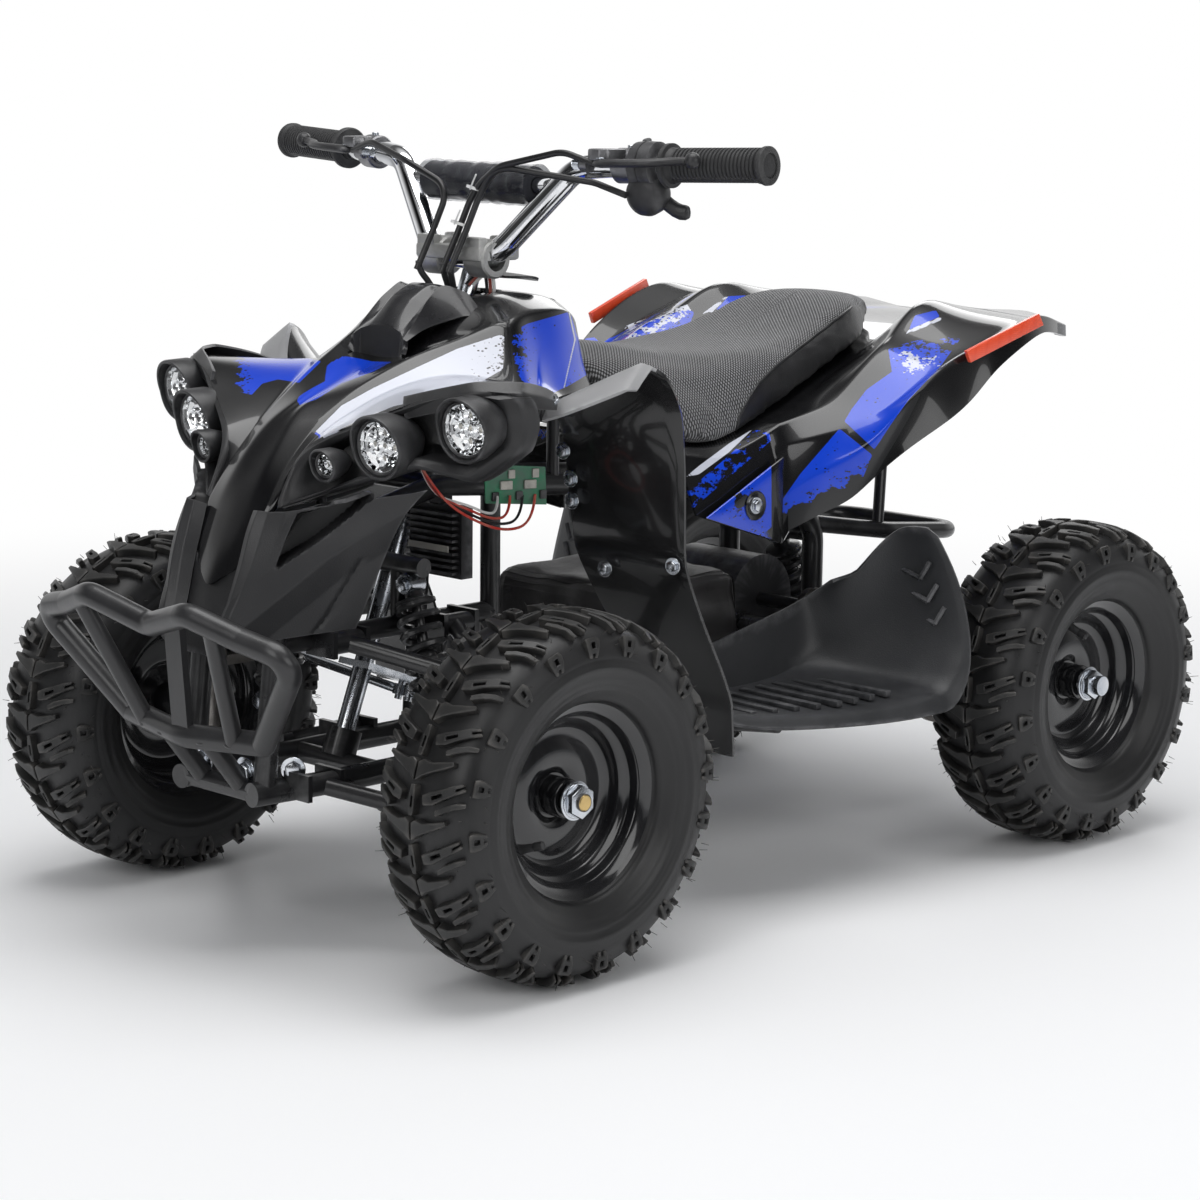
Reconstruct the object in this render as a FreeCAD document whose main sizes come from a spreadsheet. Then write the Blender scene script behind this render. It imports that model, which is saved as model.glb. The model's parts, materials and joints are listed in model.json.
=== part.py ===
import FreeCAD, Part
import Sketcher
import math
import os
from FreeCAD import Placement, Rotation, Vector

# Child-size electric quad bike, standing on its four wheels.
# Frame of the part: +X forward, +Y to the rider's left, +Z up, millimetres.
# The origin lies on the ground under the middle of the whole machine.

doc = FreeCAD.newDocument("quad_bike")

# Driving dimensions
SIZES = [
    ("frontAxleX", 327.5, "front axle ahead of the origin"),
    ("wheelBase", 740, "front axle to rear axle"),
    ("trackWidth", 540, "wheel mid-plane to wheel mid-plane"),
    ("tyreDiameter", 330, "over the lugs"),
    ("tyreWidth", 116, "over the sidewalls"),
    ("tyreWall", 7, "thickness of the casing"),
    ("rimSeat", 76, "radius of the bead seat"),
    ("rimFlange", 86, "radius of the rim flange"),
    ("rimWell", 62, "radius of the drop centre"),
    ("rimWidth", 72, "between the flanges"),
    ("rimSheet", 2.4, "thickness of the stamped sheet"),
    ("hubRadius", 20, "outside of the wheel hub"),
    ("hubLength", 56, "length of the wheel hub"),
    ("spindleRadius", 8, "front stub axle"),
    ("rearAxleRadius", 10, "solid rear axle"),
    ("runningGap", 0.05, "radial play of a shaft in its bore"),
    ("seatGap", 0.3, "gap between pieces that lie against each other"),
    ("kingpinInset", 75, "kingpin inside the wheel's mid-plane"),
    ("kingpinRadius", 6, "bolt that the knuckle turns on"),
    ("steerArm", 60, "knuckle pivot to tie rod stud"),
    ("frameTube", 11, "radius of the main frame tubes"),
    ("railHalf", 58, "lower rail to the centre plane"),
    ("bumperTube", 11, "radius of the bumper tube"),
    ("barRadius", 11, "radius of the handlebar"),
    ("gripRadius", 16, "outside of the grips"),
    ("barHalf", 320, "half the width over the handlebar"),
    ("columnRadius", 9, "steering column"),
    ("panelSheet", 3, "thickness of the moulded plastic"),
    ("treadSheet", 5, "thickness of the footrests"),
    ("lampRadius", 26, "big headlamp"),
    ("smallLampRadius", 12, "small headlamp"),
    ("armTube", 8, "radius of the suspension arm tubes"),
    ("coilRadius", 19, "outside of the shock absorber's spring"),
    ("discRadius", 70, "brake disc"),
    ("sprocketRadius", 66, "rear sprocket pitch radius"),
    ("cableRadius", 3, "control cable"),
]
sheet = doc.addObject("Spreadsheet::Sheet", "Sizes")
for row, (name, value, words) in enumerate(SIZES, 1):
    sheet.set(f"A{row}", words)
    sheet.set(f"B{row}", str(value))
    sheet.setAlias(f"B{row}", name)
doc.recompute()
SCRATCH_CELL = "D1"


def size(name):
    return float(getattr(sheet, name))


def number(text):
    """Value of a formula in the sheet's sizes."""
    sheet.set(SCRATCH_CELL, "=" + text.replace("Sizes.", ""))
    sheet.recompute()
    value = float(sheet.get(SCRATCH_CELL))
    sheet.set(SCRATCH_CELL, "")
    return value


# The drawing is measured from the middle of the wheelbase, on the ground, at
# these nominal sizes. Between the axles it stretches with the wheelbase, and
# all of it rises with the wheels.
DRAWN_HALF_BASE = 370
DRAWN_RADIUS = 165
FRONT_X = size("frontAxleX")
REAR_X = FRONT_X - size("wheelBase")
AXLE_Z = size("tyreDiameter") / 2
WHEEL_Y = size("trackWidth") / 2
KING_Y = WHEEL_Y - size("kingpinInset")
SHEET = size("panelSheet")
GAP = size("seatGap")
TUBE = size("frameTube")


def along(x):
    if x > DRAWN_HALF_BASE:
        return FRONT_X + x - DRAWN_HALF_BASE
    if x < -DRAWN_HALF_BASE:
        return REAR_X + x + DRAWN_HALF_BASE
    share = (x + DRAWN_HALF_BASE) / (2 * DRAWN_HALF_BASE)
    return REAR_X + share * (FRONT_X - REAR_X)


def up(z):
    return z + AXLE_Z - DRAWN_RADIUS


def at(x, y, z):
    """A point of the drawing as a point of the part."""
    return Vector(along(x), y, up(z))


parts = {}


def keep(label, shape):
    """One finished sub-part made with shape functions."""
    feature = doc.addObject("Part::Feature", label)
    feature.Shape = shape
    feature.Label = label
    parts[label] = feature
    return feature


def one_solid(shape):
    solids = shape.Solids
    if len(solids) != 1:
        raise ValueError(f"{len(solids)} solids where one was meant")
    return solids[0]


def fused(shapes):
    whole = shapes[0]
    for shape in shapes[1:]:
        whole = whole.fuse(shape)
    return one_solid(whole)


def mirrored(shape):
    return shape.mirror(Vector(0, 0, 0), Vector(0, 1, 0))


def both(shape):
    return Part.makeCompound([shape, mirrored(shape)])


def rod(start, end, radius):
    """Plain round bar between two points."""
    return Part.makeCylinder(radius, (end - start).Length, start, end - start)


def tube(points, radius, bend):
    """Round bar along straight runs joined by tangent arcs."""
    edges = []
    last = points[0]
    for before, corner, after in zip(points, points[1:], points[2:]):
        to_before = (before - corner).normalize()
        to_after = (after - corner).normalize()
        turn = math.pi - to_before.getAngle(to_after)
        shorter = min((before - corner).Length, (after - corner).Length)
        back = min(bend * math.tan(turn / 2), 0.45 * shorter)
        arc_radius = back / math.tan(turn / 2)
        start = corner + to_before * back
        end = corner + to_after * back
        inward = (to_before + to_after).normalize()
        centre = corner + inward * (arc_radius / math.cos(turn / 2))
        middle = centre - inward * arc_radius
        edges.append(Part.makeLine(last, start))
        edges.append(Part.Arc(start, middle, end).toShape())
        last = end
    edges.append(Part.makeLine(last, points[-1]))
    path = Part.Wire(edges)
    profile = Part.Wire(Part.makeCircle(radius, points[0], points[1] - points[0]))
    return one_solid(path.makePipeShell([profile], True, False))


def solid_of(faces):
    shell = Part.Shell(Part.makeShell(faces).Faces)
    shell.sewShape()
    solid = Part.Solid(Part.Shell(shell.Faces) if not shell.isClosed() else shell)
    if solid.Volume < 0:
        solid.reverse()
    return solid


def quad(a, b, c, d):
    return Part.makeRuledSurface(Part.makeLine(a, b), Part.makeLine(d, c))


def panel(rows, thickness):
    """Moulded sheet through rows of points, with its wall on the far side.

    The wall lies on the side that the rows turn away from by the right-hand
    rule, from along a row to down the rows.
    """
    count, width = len(rows), len(rows[0])
    inner = []
    for i in range(count):
        line = []
        for j in range(width):
            down = rows[min(i + 1, count - 1)][j] - rows[max(i - 1, 0)][j]
            side = rows[i][min(j + 1, width - 1)] - rows[i][max(j - 1, 0)]
            normal = side.cross(down).normalize()
            line.append(rows[i][j] + normal * thickness)
        inner.append(line)
    faces = []
    for i in range(count - 1):
        for j in range(width - 1):
            for grid in (rows, inner):
                faces.append(quad(grid[i][j], grid[i][j + 1], grid[i + 1][j + 1], grid[i + 1][j]))
    for j in range(width - 1):
        for i in (0, count - 1):
            faces.append(quad(rows[i][j], rows[i][j + 1], inner[i][j + 1], inner[i][j]))
    for i in range(count - 1):
        for j in (0, width - 1):
            faces.append(quad(rows[i][j], rows[i + 1][j], inner[i + 1][j], inner[i][j]))
    return solid_of(faces)


def sections(loops):
    """Closed solid through loops of points, capped by flat fans."""
    faces = []
    for first, second in zip(loops, loops[1:]):
        for k in range(len(first)):
            n = (k + 1) % len(first)
            faces.append(quad(first[k], first[n], second[n], second[k]))
    for loop in (loops[0], loops[-1]):
        faces.append(Part.Face(Part.makePolygon(loop + [loop[0]])))
    return solid_of(faces)


def largest(shape):
    """The main solid of a shape that other pieces have trimmed."""
    return max(shape.Solids, key=lambda solid: solid.Volume)


def cut_each(shapes, tools):
    """Separate solids, each trimmed by the same pieces."""
    return Part.makeCompound([largest(shape.cut(tools)) for shape in shapes])


def symmetric(half):
    """Full row of points from its left half, which starts on the centre plane."""
    left = list(reversed(half))
    right = [Vector(p.x, -p.y, p.z) for p in half[1:]]
    return left + right


def block(low, high):
    """Box between two opposite corners."""
    span = high - low
    return Part.makeBox(span.x, span.y, span.z, low)


# Turned and stamped pieces

def body_of(label):
    body = doc.addObject("PartDesign::Body", label)
    body.Label = label
    parts[label] = body
    return body


def origin_plane(body, role):
    return next(o for o in body.Origin.OriginFeatures if o.Role == role)


def outline(body, name, role, points):
    """Closed outline whose corners are formulas in the sheet's sizes."""
    sketch = body.newObject("Sketcher::SketchObject", name)
    sketch.AttachmentSupport = [(origin_plane(body, role), "")]
    sketch.MapMode = "FlatFace"
    corners = [Vector(number(x), number(y), 0) for x, y in points]
    count = len(corners)
    for k in range(count):
        sketch.addGeometry(Part.LineSegment(corners[k], corners[(k + 1) % count]), False)
    for k in range(count):
        sketch.addConstraint(Sketcher.Constraint("Coincident", k, 2, (k + 1) % count, 1))
    for k, (x, y) in enumerate(points):
        for kind, text in (("DistanceX", x), ("DistanceY", y)):
            index = sketch.addConstraint(
                Sketcher.Constraint(kind, -1, 1, k, 1, number(text)))
            sketch.setExpression(f"Constraints[{index}]", text)
    return sketch


def turned(label, points):
    """Piece turned about the body's X axis, from (along, radius) corners."""
    body = body_of(label)
    sketch = outline(body, label + "_outline", "XY_Plane", points)
    turn = body.newObject("PartDesign::Revolution", label + "_turned")
    turn.Profile = sketch
    turn.ReferenceAxis = (sketch, ["H_Axis"])
    turn.Angle = 360
    body.Tip = turn
    return body


def on_wheel_axis(body, x, y, turn):
    """Lay the body's X axis across the machine, on an axle's centre line."""
    body.Placement = Placement(Vector(0, 0, 0), Rotation(Vector(0, 0, 1), turn))
    body.setExpression("Placement.Base.x", x)
    body.setExpression("Placement.Base.y", y)
    body.setExpression("Placement.Base.z", "Sizes.tyreDiameter / 2")


TYRE_HALF = [
    ("0", "Sizes.tyreDiameter / 2"),
    ("Sizes.tyreWidth * 0.34", "Sizes.tyreDiameter / 2 - 2"),
    ("Sizes.tyreWidth * 0.43", "Sizes.tyreDiameter / 2 - 9"),
    ("Sizes.tyreWidth * 0.5", "Sizes.tyreDiameter / 2 - 26"),
    ("Sizes.tyreWidth * 0.5", "Sizes.tyreDiameter / 2 - 46"),
    ("Sizes.rimWidth / 2 + 8", "Sizes.rimFlange + 6"),
    ("Sizes.rimWidth / 2 - Sizes.seatGap", "Sizes.rimFlange + 1.5"),
    ("Sizes.rimWidth / 2 - Sizes.seatGap", "Sizes.rimSeat + Sizes.seatGap"),
    ("Sizes.rimWidth / 2 - 12", "Sizes.rimSeat + Sizes.seatGap"),
    ("Sizes.rimWidth / 2 - 8", "Sizes.rimFlange + 6"),
    ("Sizes.tyreWidth * 0.5 - Sizes.tyreWall", "Sizes.tyreDiameter / 2 - 46"),
    ("Sizes.tyreWidth * 0.5 - Sizes.tyreWall", "Sizes.tyreDiameter / 2 - 30"),
    ("Sizes.tyreWidth * 0.36", "Sizes.tyreDiameter / 2 - 6 - Sizes.tyreWall"),
    ("0", "Sizes.tyreDiameter / 2 - 4 - Sizes.tyreWall"),
]


def tyre_outline():
    outside = TYRE_HALF
    back = [("-(" + x + ")", y) for x, y in reversed(TYRE_HALF[1:-1])]
    return outside + back


def rim_outline(bore):
    half = "Sizes.rimWidth / 2"
    sheet_in = " - Sizes.rimSheet"
    lip = half + " + Sizes.rimSheet"
    well = "Sizes.rimWell"
    hub = "Sizes.hubLength / 2"
    return [
        ("-(" + lip + ")", "Sizes.rimFlange"),
        ("-(" + half + ")", "Sizes.rimFlange"),
        ("-(" + half + ")", "Sizes.rimSeat"),
        ("-(" + half + ") * 0.55", "Sizes.rimSeat"),
        ("-(" + half + ") * 0.4", well),
        ("(" + half + ") * 0.4", well),
        ("(" + half + ") * 0.55", "Sizes.rimSeat"),
        (half, "Sizes.rimSeat"),
        (half, "Sizes.rimFlange"),
        (lip, "Sizes.rimFlange"),
        (lip, "Sizes.rimSeat" + sheet_in),
        ("(" + half + ") * 0.62", "Sizes.rimSeat" + sheet_in),
        ("(" + half + ") * 0.47", well + sheet_in),
        ("6 + Sizes.rimSheet", well + sheet_in),
        ("2 + Sizes.rimSheet", "Sizes.hubRadius + 14"),
        ("6 + Sizes.rimSheet", "Sizes.hubRadius"),
        (hub, "Sizes.hubRadius - 4"),
        (hub, bore),
        ("-(" + hub + ")", bore),
        ("-(" + hub + ")", "Sizes.hubRadius"),
        ("6", "Sizes.hubRadius"),
        ("2", "Sizes.hubRadius + 14"),
        ("6", well + sheet_in),
        ("-(" + half + ") * 0.47", well + sheet_in),
        ("-(" + half + ") * 0.62", "Sizes.rimSeat" + sheet_in),
        ("-(" + lip + ")", "Sizes.rimSeat" + sheet_in),
    ]


FRONT_AXLE = "Sizes.frontAxleX"
REAR_AXLE = "Sizes.frontAxleX - Sizes.wheelBase"
LEFT_WHEEL = "Sizes.trackWidth / 2"
RIGHT_WHEEL = "-Sizes.trackWidth / 2"
SPINDLE_BORE = "Sizes.spindleRadius + Sizes.runningGap"
AXLE_BORE = "Sizes.rearAxleRadius + Sizes.runningGap"
for corner, x, y, turn, bore in (
        ("front_left", FRONT_AXLE, LEFT_WHEEL, 90, SPINDLE_BORE),
        ("front_right", FRONT_AXLE, RIGHT_WHEEL, -90, SPINDLE_BORE),
        ("rear_left", REAR_AXLE, LEFT_WHEEL, 90, AXLE_BORE),
        ("rear_right", REAR_AXLE, RIGHT_WHEEL, -90, AXLE_BORE)):
    on_wheel_axis(turned("tyre_" + corner, tyre_outline()), x, y, turn)
    on_wheel_axis(turned("rim_" + corner, rim_outline(bore)), x, y, turn)

# Rear axle with its nuts, brake disc and sprocket
AXLE_BEYOND = 48
AXLE_END = WHEEL_Y + AXLE_BEYOND
HUB_HALF = size("hubLength") / 2
AXLE_R = size("rearAxleRadius")
NUT_R = 13
NUT_WIDE = 9
axle_line = Vector(REAR_X, 0, AXLE_Z)


def across(line, low, high, radius):
    """Cylinder across the machine about a line's point, between two Y values."""
    base = Vector(line.x, low, line.z)
    return Part.makeCylinder(radius, high - low, base, Vector(0, 1, 0))


nut_in = WHEEL_Y + HUB_HALF + GAP
keep("rear_axle", fused([
    across(axle_line, -AXLE_END, AXLE_END, AXLE_R),
    across(axle_line, nut_in, nut_in + NUT_WIDE, NUT_R),
    across(axle_line, -nut_in - NUT_WIDE, -nut_in, NUT_R),
]))
DISC_Y = -112
SPROCKET_Y = 112
DISC_SHEET = 3
CARRIER_R = 24


def ring_plate(y, outer, sheet_thick):
    plate = across(axle_line, y, y + sheet_thick, outer)
    carrier = across(axle_line, y - 14, y + 14, CARRIER_R)
    bore = across(axle_line, y - 30, y + 30, AXLE_R + size("runningGap"))
    return one_solid(plate.fuse([carrier]).cut(bore))


disc = ring_plate(DISC_Y, size("discRadius"), DISC_SHEET)
HOLES = 6
for k in range(HOLES):
    turn = 2 * math.pi * k / HOLES
    reach = size("discRadius") * 0.66
    hole = Vector(REAR_X + reach * math.cos(turn), 0, AXLE_Z + reach * math.sin(turn))
    disc = disc.cut(across(hole, DISC_Y - 5, DISC_Y + 10, 9))
keep("brake_disc", one_solid(disc))
keep("sprocket", ring_plate(SPROCKET_Y, size("sprocketRadius") - 3, DISC_SHEET))

# Main frame: two lower rails, uprights, top rails and front hoop
RAIL = size("railHalf")
RAIL_Z = 150
ARM_RAIL_Z = 281
BEND = 45
BRACE = TUBE * 0.86
POST = 6
OUTRIGGER = 7
lower_half = [
    tube([at(524, 50, RAIL_Z), at(440, RAIL, RAIL_Z), at(-215, RAIL, RAIL_Z),
          at(-215, RAIL, 330), at(-60, RAIL, 375)], TUBE, BEND),
    rod(at(-60, RAIL, 375), at(-60, RAIL, 432), POST),
]
upper_half = [
    tube([at(-68, RAIL, 373), at(130, 45, 390), at(300, 45, 405), at(410, 46, 380),
          at(474, 50, 366), at(496, 50, 276), at(510, 50, 146)], TUBE * 0.95, BEND),
    rod(at(240, 55, RAIL_Z), at(232, 46, 396), BRACE),
    rod(at(150, 45, 392), at(150, 45, 571), POST),
    rod(at(436, 47, 373), at(436, 34, 473), POST * 0.8),
]
loop_half = [
    tube([at(-215, RAIL, 318), at(-300, 84, 305), at(-428, 84, 292), at(-428, -2, 292)],
         TUBE * 0.8, BEND),
    rod(at(-292, 80, 305), at(-326, 62, 518), POST),
]
outrigger_half = [
    rod(at(40, RAIL, RAIL_Z), at(40, 240, 171.8), OUTRIGGER),
    rod(at(-120, RAIL, RAIL_Z), at(-120, 240, 171.8), OUTRIGGER),
]


PIVOT_Y = 78
LUG = 5


def pivot_lugs(x_low, x_high, z, rail_y):
    """Two lugs on a rail and the bolt between them, for a suspension arm."""
    shapes = []
    for x in (x_low, x_high):
        shapes.append(block(at(x - LUG / 2, rail_y, z - 12), at(x + LUG / 2, PIVOT_Y + 10, z + 12)))
    shapes.append(rod(at(x_low, PIVOT_Y, z), at(x_high, PIVOT_Y, z), 5))
    return shapes


UPPER_PIVOTS = ((420, 458), (288, 326))
LOWER_PIVOTS = ((450, 488), (288, 326))
LOWER_PIVOT_Z = 156
upper_arm_rail = [
    rod(at(494, 50, ARM_RAIL_Z), at(236, 50, ARM_RAIL_Z), BRACE),
    rod(at(350, 50, ARM_RAIL_Z), at(350, 50, 338), TUBE * 0.7),
]
for low, high in UPPER_PIVOTS:
    upper_arm_rail += pivot_lugs(low, high, ARM_RAIL_Z, 50)
lower_lugs = [fused(pivot_lugs(low, high, LOWER_PIVOT_Z, 52)) for low, high in LOWER_PIVOTS]
lower_cross = [
    rod(at(x, -RAIL, RAIL_Z), at(x, RAIL, RAIL_Z), BRACE) for x in (246, -206)
] + [
    rod(at(514, -50, RAIL_Z), at(514, 50, RAIL_Z), BRACE),
    rod(at(380, -56, RAIL_Z), at(380, 56, RAIL_Z), BRACE),
    rod(at(-215, -RAIL, 308), at(-215, RAIL, 308), BRACE),
]
shock_bar = rod(at(350, -84, 338), at(350, 84, 338), TUBE * 0.8)
controller_lug = block(at(286, 38, 388.3), at(302, 52, 402))

# Steering column: foot at the front axle, head between the handlebar risers
COLUMN_FOOT = at(376, 0, 166)
COLUMN_HEAD = at(213.6, 0, 594.6)
column_way = (COLUMN_HEAD - COLUMN_FOOT).normalize()
column_back = Vector(0, 1, 0).cross(column_way).normalize() * -1
COLUMN_R = size("columnRadius")


def on_column(z):
    """Point of the column's axis at a drawn height."""
    share = (up(z) - COLUMN_FOOT.z) / (COLUMN_HEAD.z - COLUMN_FOOT.z)
    return COLUMN_FOOT + (COLUMN_HEAD - COLUMN_FOOT) * share


BUSH_WALL = 8
BUSH_LONG = 30
CUP_WALL = 7
bush_low = on_column(398)
bush = rod(bush_low, bush_low + column_way * BUSH_LONG, COLUMN_R + BUSH_WALL)
bush_bar = rod(at(300, -45, 405), at(300, 45, 405), TUBE * 0.8)
foot_cup = rod(COLUMN_FOOT - column_way * 12, COLUMN_FOOT + column_way * 14, COLUMN_R + CUP_WALL)
column_hole = rod(COLUMN_FOOT - column_way * GAP, COLUMN_HEAD,
                  COLUMN_R + size("runningGap"))

# Bolts that the swing arm turns on, with the plates that carry them
SWING_Z = 224
SWING_X = -100
SWING_BOLT = 7
swing_line = at(SWING_X, 0, SWING_Z)
bolt_half = [
    across(swing_line, 40, 118, SWING_BOLT),
    across(swing_line, 102, 112, 12),
    block(at(SWING_X - 14, 52, RAIL_Z), at(SWING_X + 14, 64, SWING_Z + 14)),
]


def welded(half, middle):
    """One solid from the tubes of both sides and those between them."""
    return fused(half + [mirrored(s) for s in half] + middle)


frame_shape = welded(lower_half + bolt_half, lower_cross + [foot_cup]).cut(column_hole)
keep("frame", one_solid(frame_shape))
top_shape = welded(upper_half, [controller_lug, bush, bush_bar]).cut([column_hole, frame_shape])
keep("top_frame", largest(top_shape))
loop_shape = welded(loop_half, []).cut([frame_shape, top_shape])
keep("rear_loop", largest(loop_shape))
mount_shape = cut_each([welded(upper_arm_rail, [shock_bar])] + lower_lugs
                       + [mirrored(s) for s in lower_lugs], [frame_shape, top_shape])
keep("arm_mounts", mount_shape)
outriggers = cut_each(outrigger_half + [mirrored(s) for s in outrigger_half], [frame_shape])
keep("footrest_bars", outriggers)
frame_now = [frame_shape, top_shape, loop_shape, mount_shape]


# Swing arm that carries the rear axle
SWING_TUBE = 10
SWING_Y = 86
SWING_BOSS = 15
HOUSING_HALF = 72
HOUSING_R = 22
housing = across(axle_line, -HOUSING_HALF, HOUSING_HALF, HOUSING_R)
swing_half = [
    tube([at(SWING_X, SWING_Y, SWING_Z), at(-300, SWING_Y, 178), at(-366, 56, 166)],
         SWING_TUBE, BEND),
    across(swing_line, SWING_Y - SWING_BOSS, SWING_Y + SWING_BOSS, 2 * SWING_BOLT),
]
swing_shape = fused(swing_half + [mirrored(s) for s in swing_half]
                    + [housing, rod(at(-250, -SWING_Y, 189), at(-250, SWING_Y, 189), SWING_TUBE * 0.8)])
swing_shape = swing_shape.cut(across(axle_line, -90, 90, AXLE_R + size("runningGap")))
swing_shape = one_solid(swing_shape.cut(
    across(swing_line, -150, 150, SWING_BOLT + size("runningGap"))))
keep("swing_arm", swing_shape)

# Motor, battery box, controller and chain
MOTOR_R = 46
motor_line = at(-150, 0, 245)
motor = across(motor_line, -52, 46, MOTOR_R)
motor_shaft = across(motor_line, 46, SPROCKET_Y + 6, 7)
PINION_R = 16
pinion = across(motor_line, SPROCKET_Y - 3, SPROCKET_Y + 6, PINION_R - 3)
motor_foot = block(at(-190, -40, RAIL_Z + 30), at(-110, 40, 215))
keep("motor", fused([motor, motor_shaft, pinion, motor_foot]))
keep("battery_box", block(at(-82, -92, RAIL_Z + TUBE + GAP), at(110, 92, 296)))
FIN = 2.4
FIN_PITCH = 6
case = block(at(290, 14, 322), at(304, 84, 388))
fins = [block(at(303, 18, 326 + k * FIN_PITCH), at(312, 80, 326 + k * FIN_PITCH + FIN))
        for k in range(10)]
keep("controller", fused([case] + fins))


def racetrack(radius_a, radius_b, y_low, y_high):
    """Belt shape round two wheels of different size."""
    a = Vector(motor_line.x, 0, motor_line.z)
    b = Vector(axle_line.x, 0, axle_line.z)
    gap = (b - a).Length
    direction = math.atan2(b.z - a.z, b.x - a.x)
    lean = math.acos((radius_a - radius_b) / gap)
    corners = []
    for sign in (1, -1):
        turn = direction + sign * lean
        ray = Vector(math.cos(turn), 0, math.sin(turn))
        corners.append((a + ray * radius_a, b + ray * radius_b))
    (a_up, b_up), (a_low, b_low) = corners
    back = Vector(math.cos(direction), 0, math.sin(direction))
    edges = [
        Part.makeLine(a_up, b_up),
        Part.Arc(b_up, b + back * radius_b, b_low).toShape(),
        Part.makeLine(b_low, a_low),
        Part.Arc(a_low, a - back * radius_a, a_up).toShape(),
    ]
    face = Part.Face(Part.Wire(edges))
    face.translate(Vector(0, y_low, 0))
    return face.extrude(Vector(0, y_high - y_low, 0))


CHAIN = 4
chain_low = SPROCKET_Y - 1.5
chain_high = SPROCKET_Y + 4.5
SPROCKET_R = size("sprocketRadius")
chain = racetrack(PINION_R + CHAIN, SPROCKET_R + CHAIN, chain_low, chain_high).cut(
    racetrack(PINION_R - 2, SPROCKET_R - 2, chain_low - 1, chain_high + 1))
keep("chain", one_solid(chain))

# Front suspension arms with the kingpin bolts
ARM = size("armTube")
KING_LOW = 112
KING_HIGH = 262
EYE = 14
EYE_HALF = 12
king_bottom = at(370, KING_Y, KING_LOW)
king_top = at(370, KING_Y, KING_HIGH)


def sleeve(low, high, z):
    return rod(at(low + LUG / 2, PIVOT_Y, z) + Vector(GAP, 0, 0),
               at(high - LUG / 2, PIVOT_Y, z) - Vector(GAP, 0, 0), 10)


def wishbone(pivots, pivot_z, eye_z):
    eye = at(370, KING_Y, eye_z)
    shapes = [rod(eye - Vector(0, 0, EYE_HALF), eye + Vector(0, 0, EYE_HALF), EYE)]
    for low, high in pivots:
        start = at((low + high) / 2, PIVOT_Y, pivot_z)
        shapes.append(sleeve(low, high, pivot_z))
        shapes.append(rod(start, eye, ARM))
    return shapes


arm_shapes = wishbone(UPPER_PIVOTS, ARM_RAIL_Z, 250) + wishbone(LOWER_PIVOTS, LOWER_PIVOT_Z, 120)
arm_shapes.append(rod(king_bottom, king_top, size("kingpinRadius")))
SHOCK_LOW = at(362, 122, 186)
SHOCK_HIGH = at(350, 68, 322)
arm_shapes.append(rod(at(318, 122, 142), at(436, 122, 142), ARM))
arm_shapes.append(block(at(352, 112, 142), at(372, 132, 172)))
arm_side = fused(arm_shapes)
pivot_holes = [rod(at(low - 10, PIVOT_Y, z), at(high + 10, PIVOT_Y, z), 5 + size("runningGap"))
               for pivots, z in ((UPPER_PIVOTS, ARM_RAIL_Z), (LOWER_PIVOTS, LOWER_PIVOT_Z))
               for low, high in pivots]
arm_side = one_solid(arm_side.cut(pivot_holes))
keep("front_arms", both(one_solid(arm_side.cut(frame_now))))

# Shock absorbers

def shock(low, high, radius):
    way = (high - low).normalize()
    length = (high - low).Length
    return fused([
        rod(low, high, 6),
        rod(low + way * 16, low + way * (length - 14), radius),
        rod(low - Vector(10, 0, 0), low + Vector(10, 0, 0), 9),
        rod(high - Vector(10, 0, 0), high + Vector(10, 0, 0), 9),
    ])


side_shock = shock(SHOCK_LOW, SHOCK_HIGH, size("coilRadius"))
side_shock = one_solid(side_shock.cut(frame_now + [arm_side]))
keep("front_shocks", both(side_shock))
rear_shock = shock(at(-262, 0, 208), at(-228, 0, 300), size("coilRadius"))
keep("rear_shock", one_solid(rear_shock.cut(frame_now + [swing_shape])))

# Steering knuckles with stub axle and steering arm
SPINDLE = size("spindleRadius")
STUD_R = 3.5
STUD_OUT = 5
STUD_PAD = 8
ARM_Z = 213
knuckle_low = up(120) + EYE_HALF + GAP
knuckle_high = up(250) - EYE_HALF - GAP


def knuckle():
    king = Part.makeCylinder(13, knuckle_high - knuckle_low, Vector(FRONT_X, KING_Y, knuckle_low))
    hub_in = WHEEL_Y - HUB_HALF - GAP
    line = Vector(FRONT_X, 0, AXLE_Z)
    shoulder = across(line, KING_Y, hub_in, 14)
    stub = across(line, KING_Y, WHEEL_Y + 42, SPINDLE)
    nut = across(line, nut_in, nut_in + NUT_WIDE, NUT_R)
    arm_z = up(ARM_Z)
    arm = block(Vector(FRONT_X - size("steerArm"), KING_Y - 3, arm_z - 5),
                Vector(FRONT_X, KING_Y + 11, arm_z + 5))
    stud_at = Vector(FRONT_X - size("steerArm"), KING_Y + STUD_OUT, arm_z - 5)
    pad = Part.makeCylinder(STUD_PAD, 10, stud_at)
    stud = Part.makeCylinder(STUD_R, 30, stud_at)
    shape = fused([king, shoulder, stub, nut, arm, pad, stud])
    bolt = rod(king_bottom - Vector(0, 0, 20), king_top + Vector(0, 0, 20),
               size("kingpinRadius") + size("runningGap"))
    return one_solid(shape.cut(bolt)), stud_at


left_knuckle, stud_at = knuckle()
keep("knuckle_left", left_knuckle)
keep("knuckle_right", mirrored(left_knuckle))

# Steering stem: column, pitman plate and the head that takes the risers
PIN_Y = 7
PITMAN_Z = 236
pitman_centre = on_column(PITMAN_Z)
pin_mid = pitman_centre + column_back * size("steerArm")
pin_at = Vector(pin_mid.x, PIN_Y, pin_mid.z)


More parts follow.
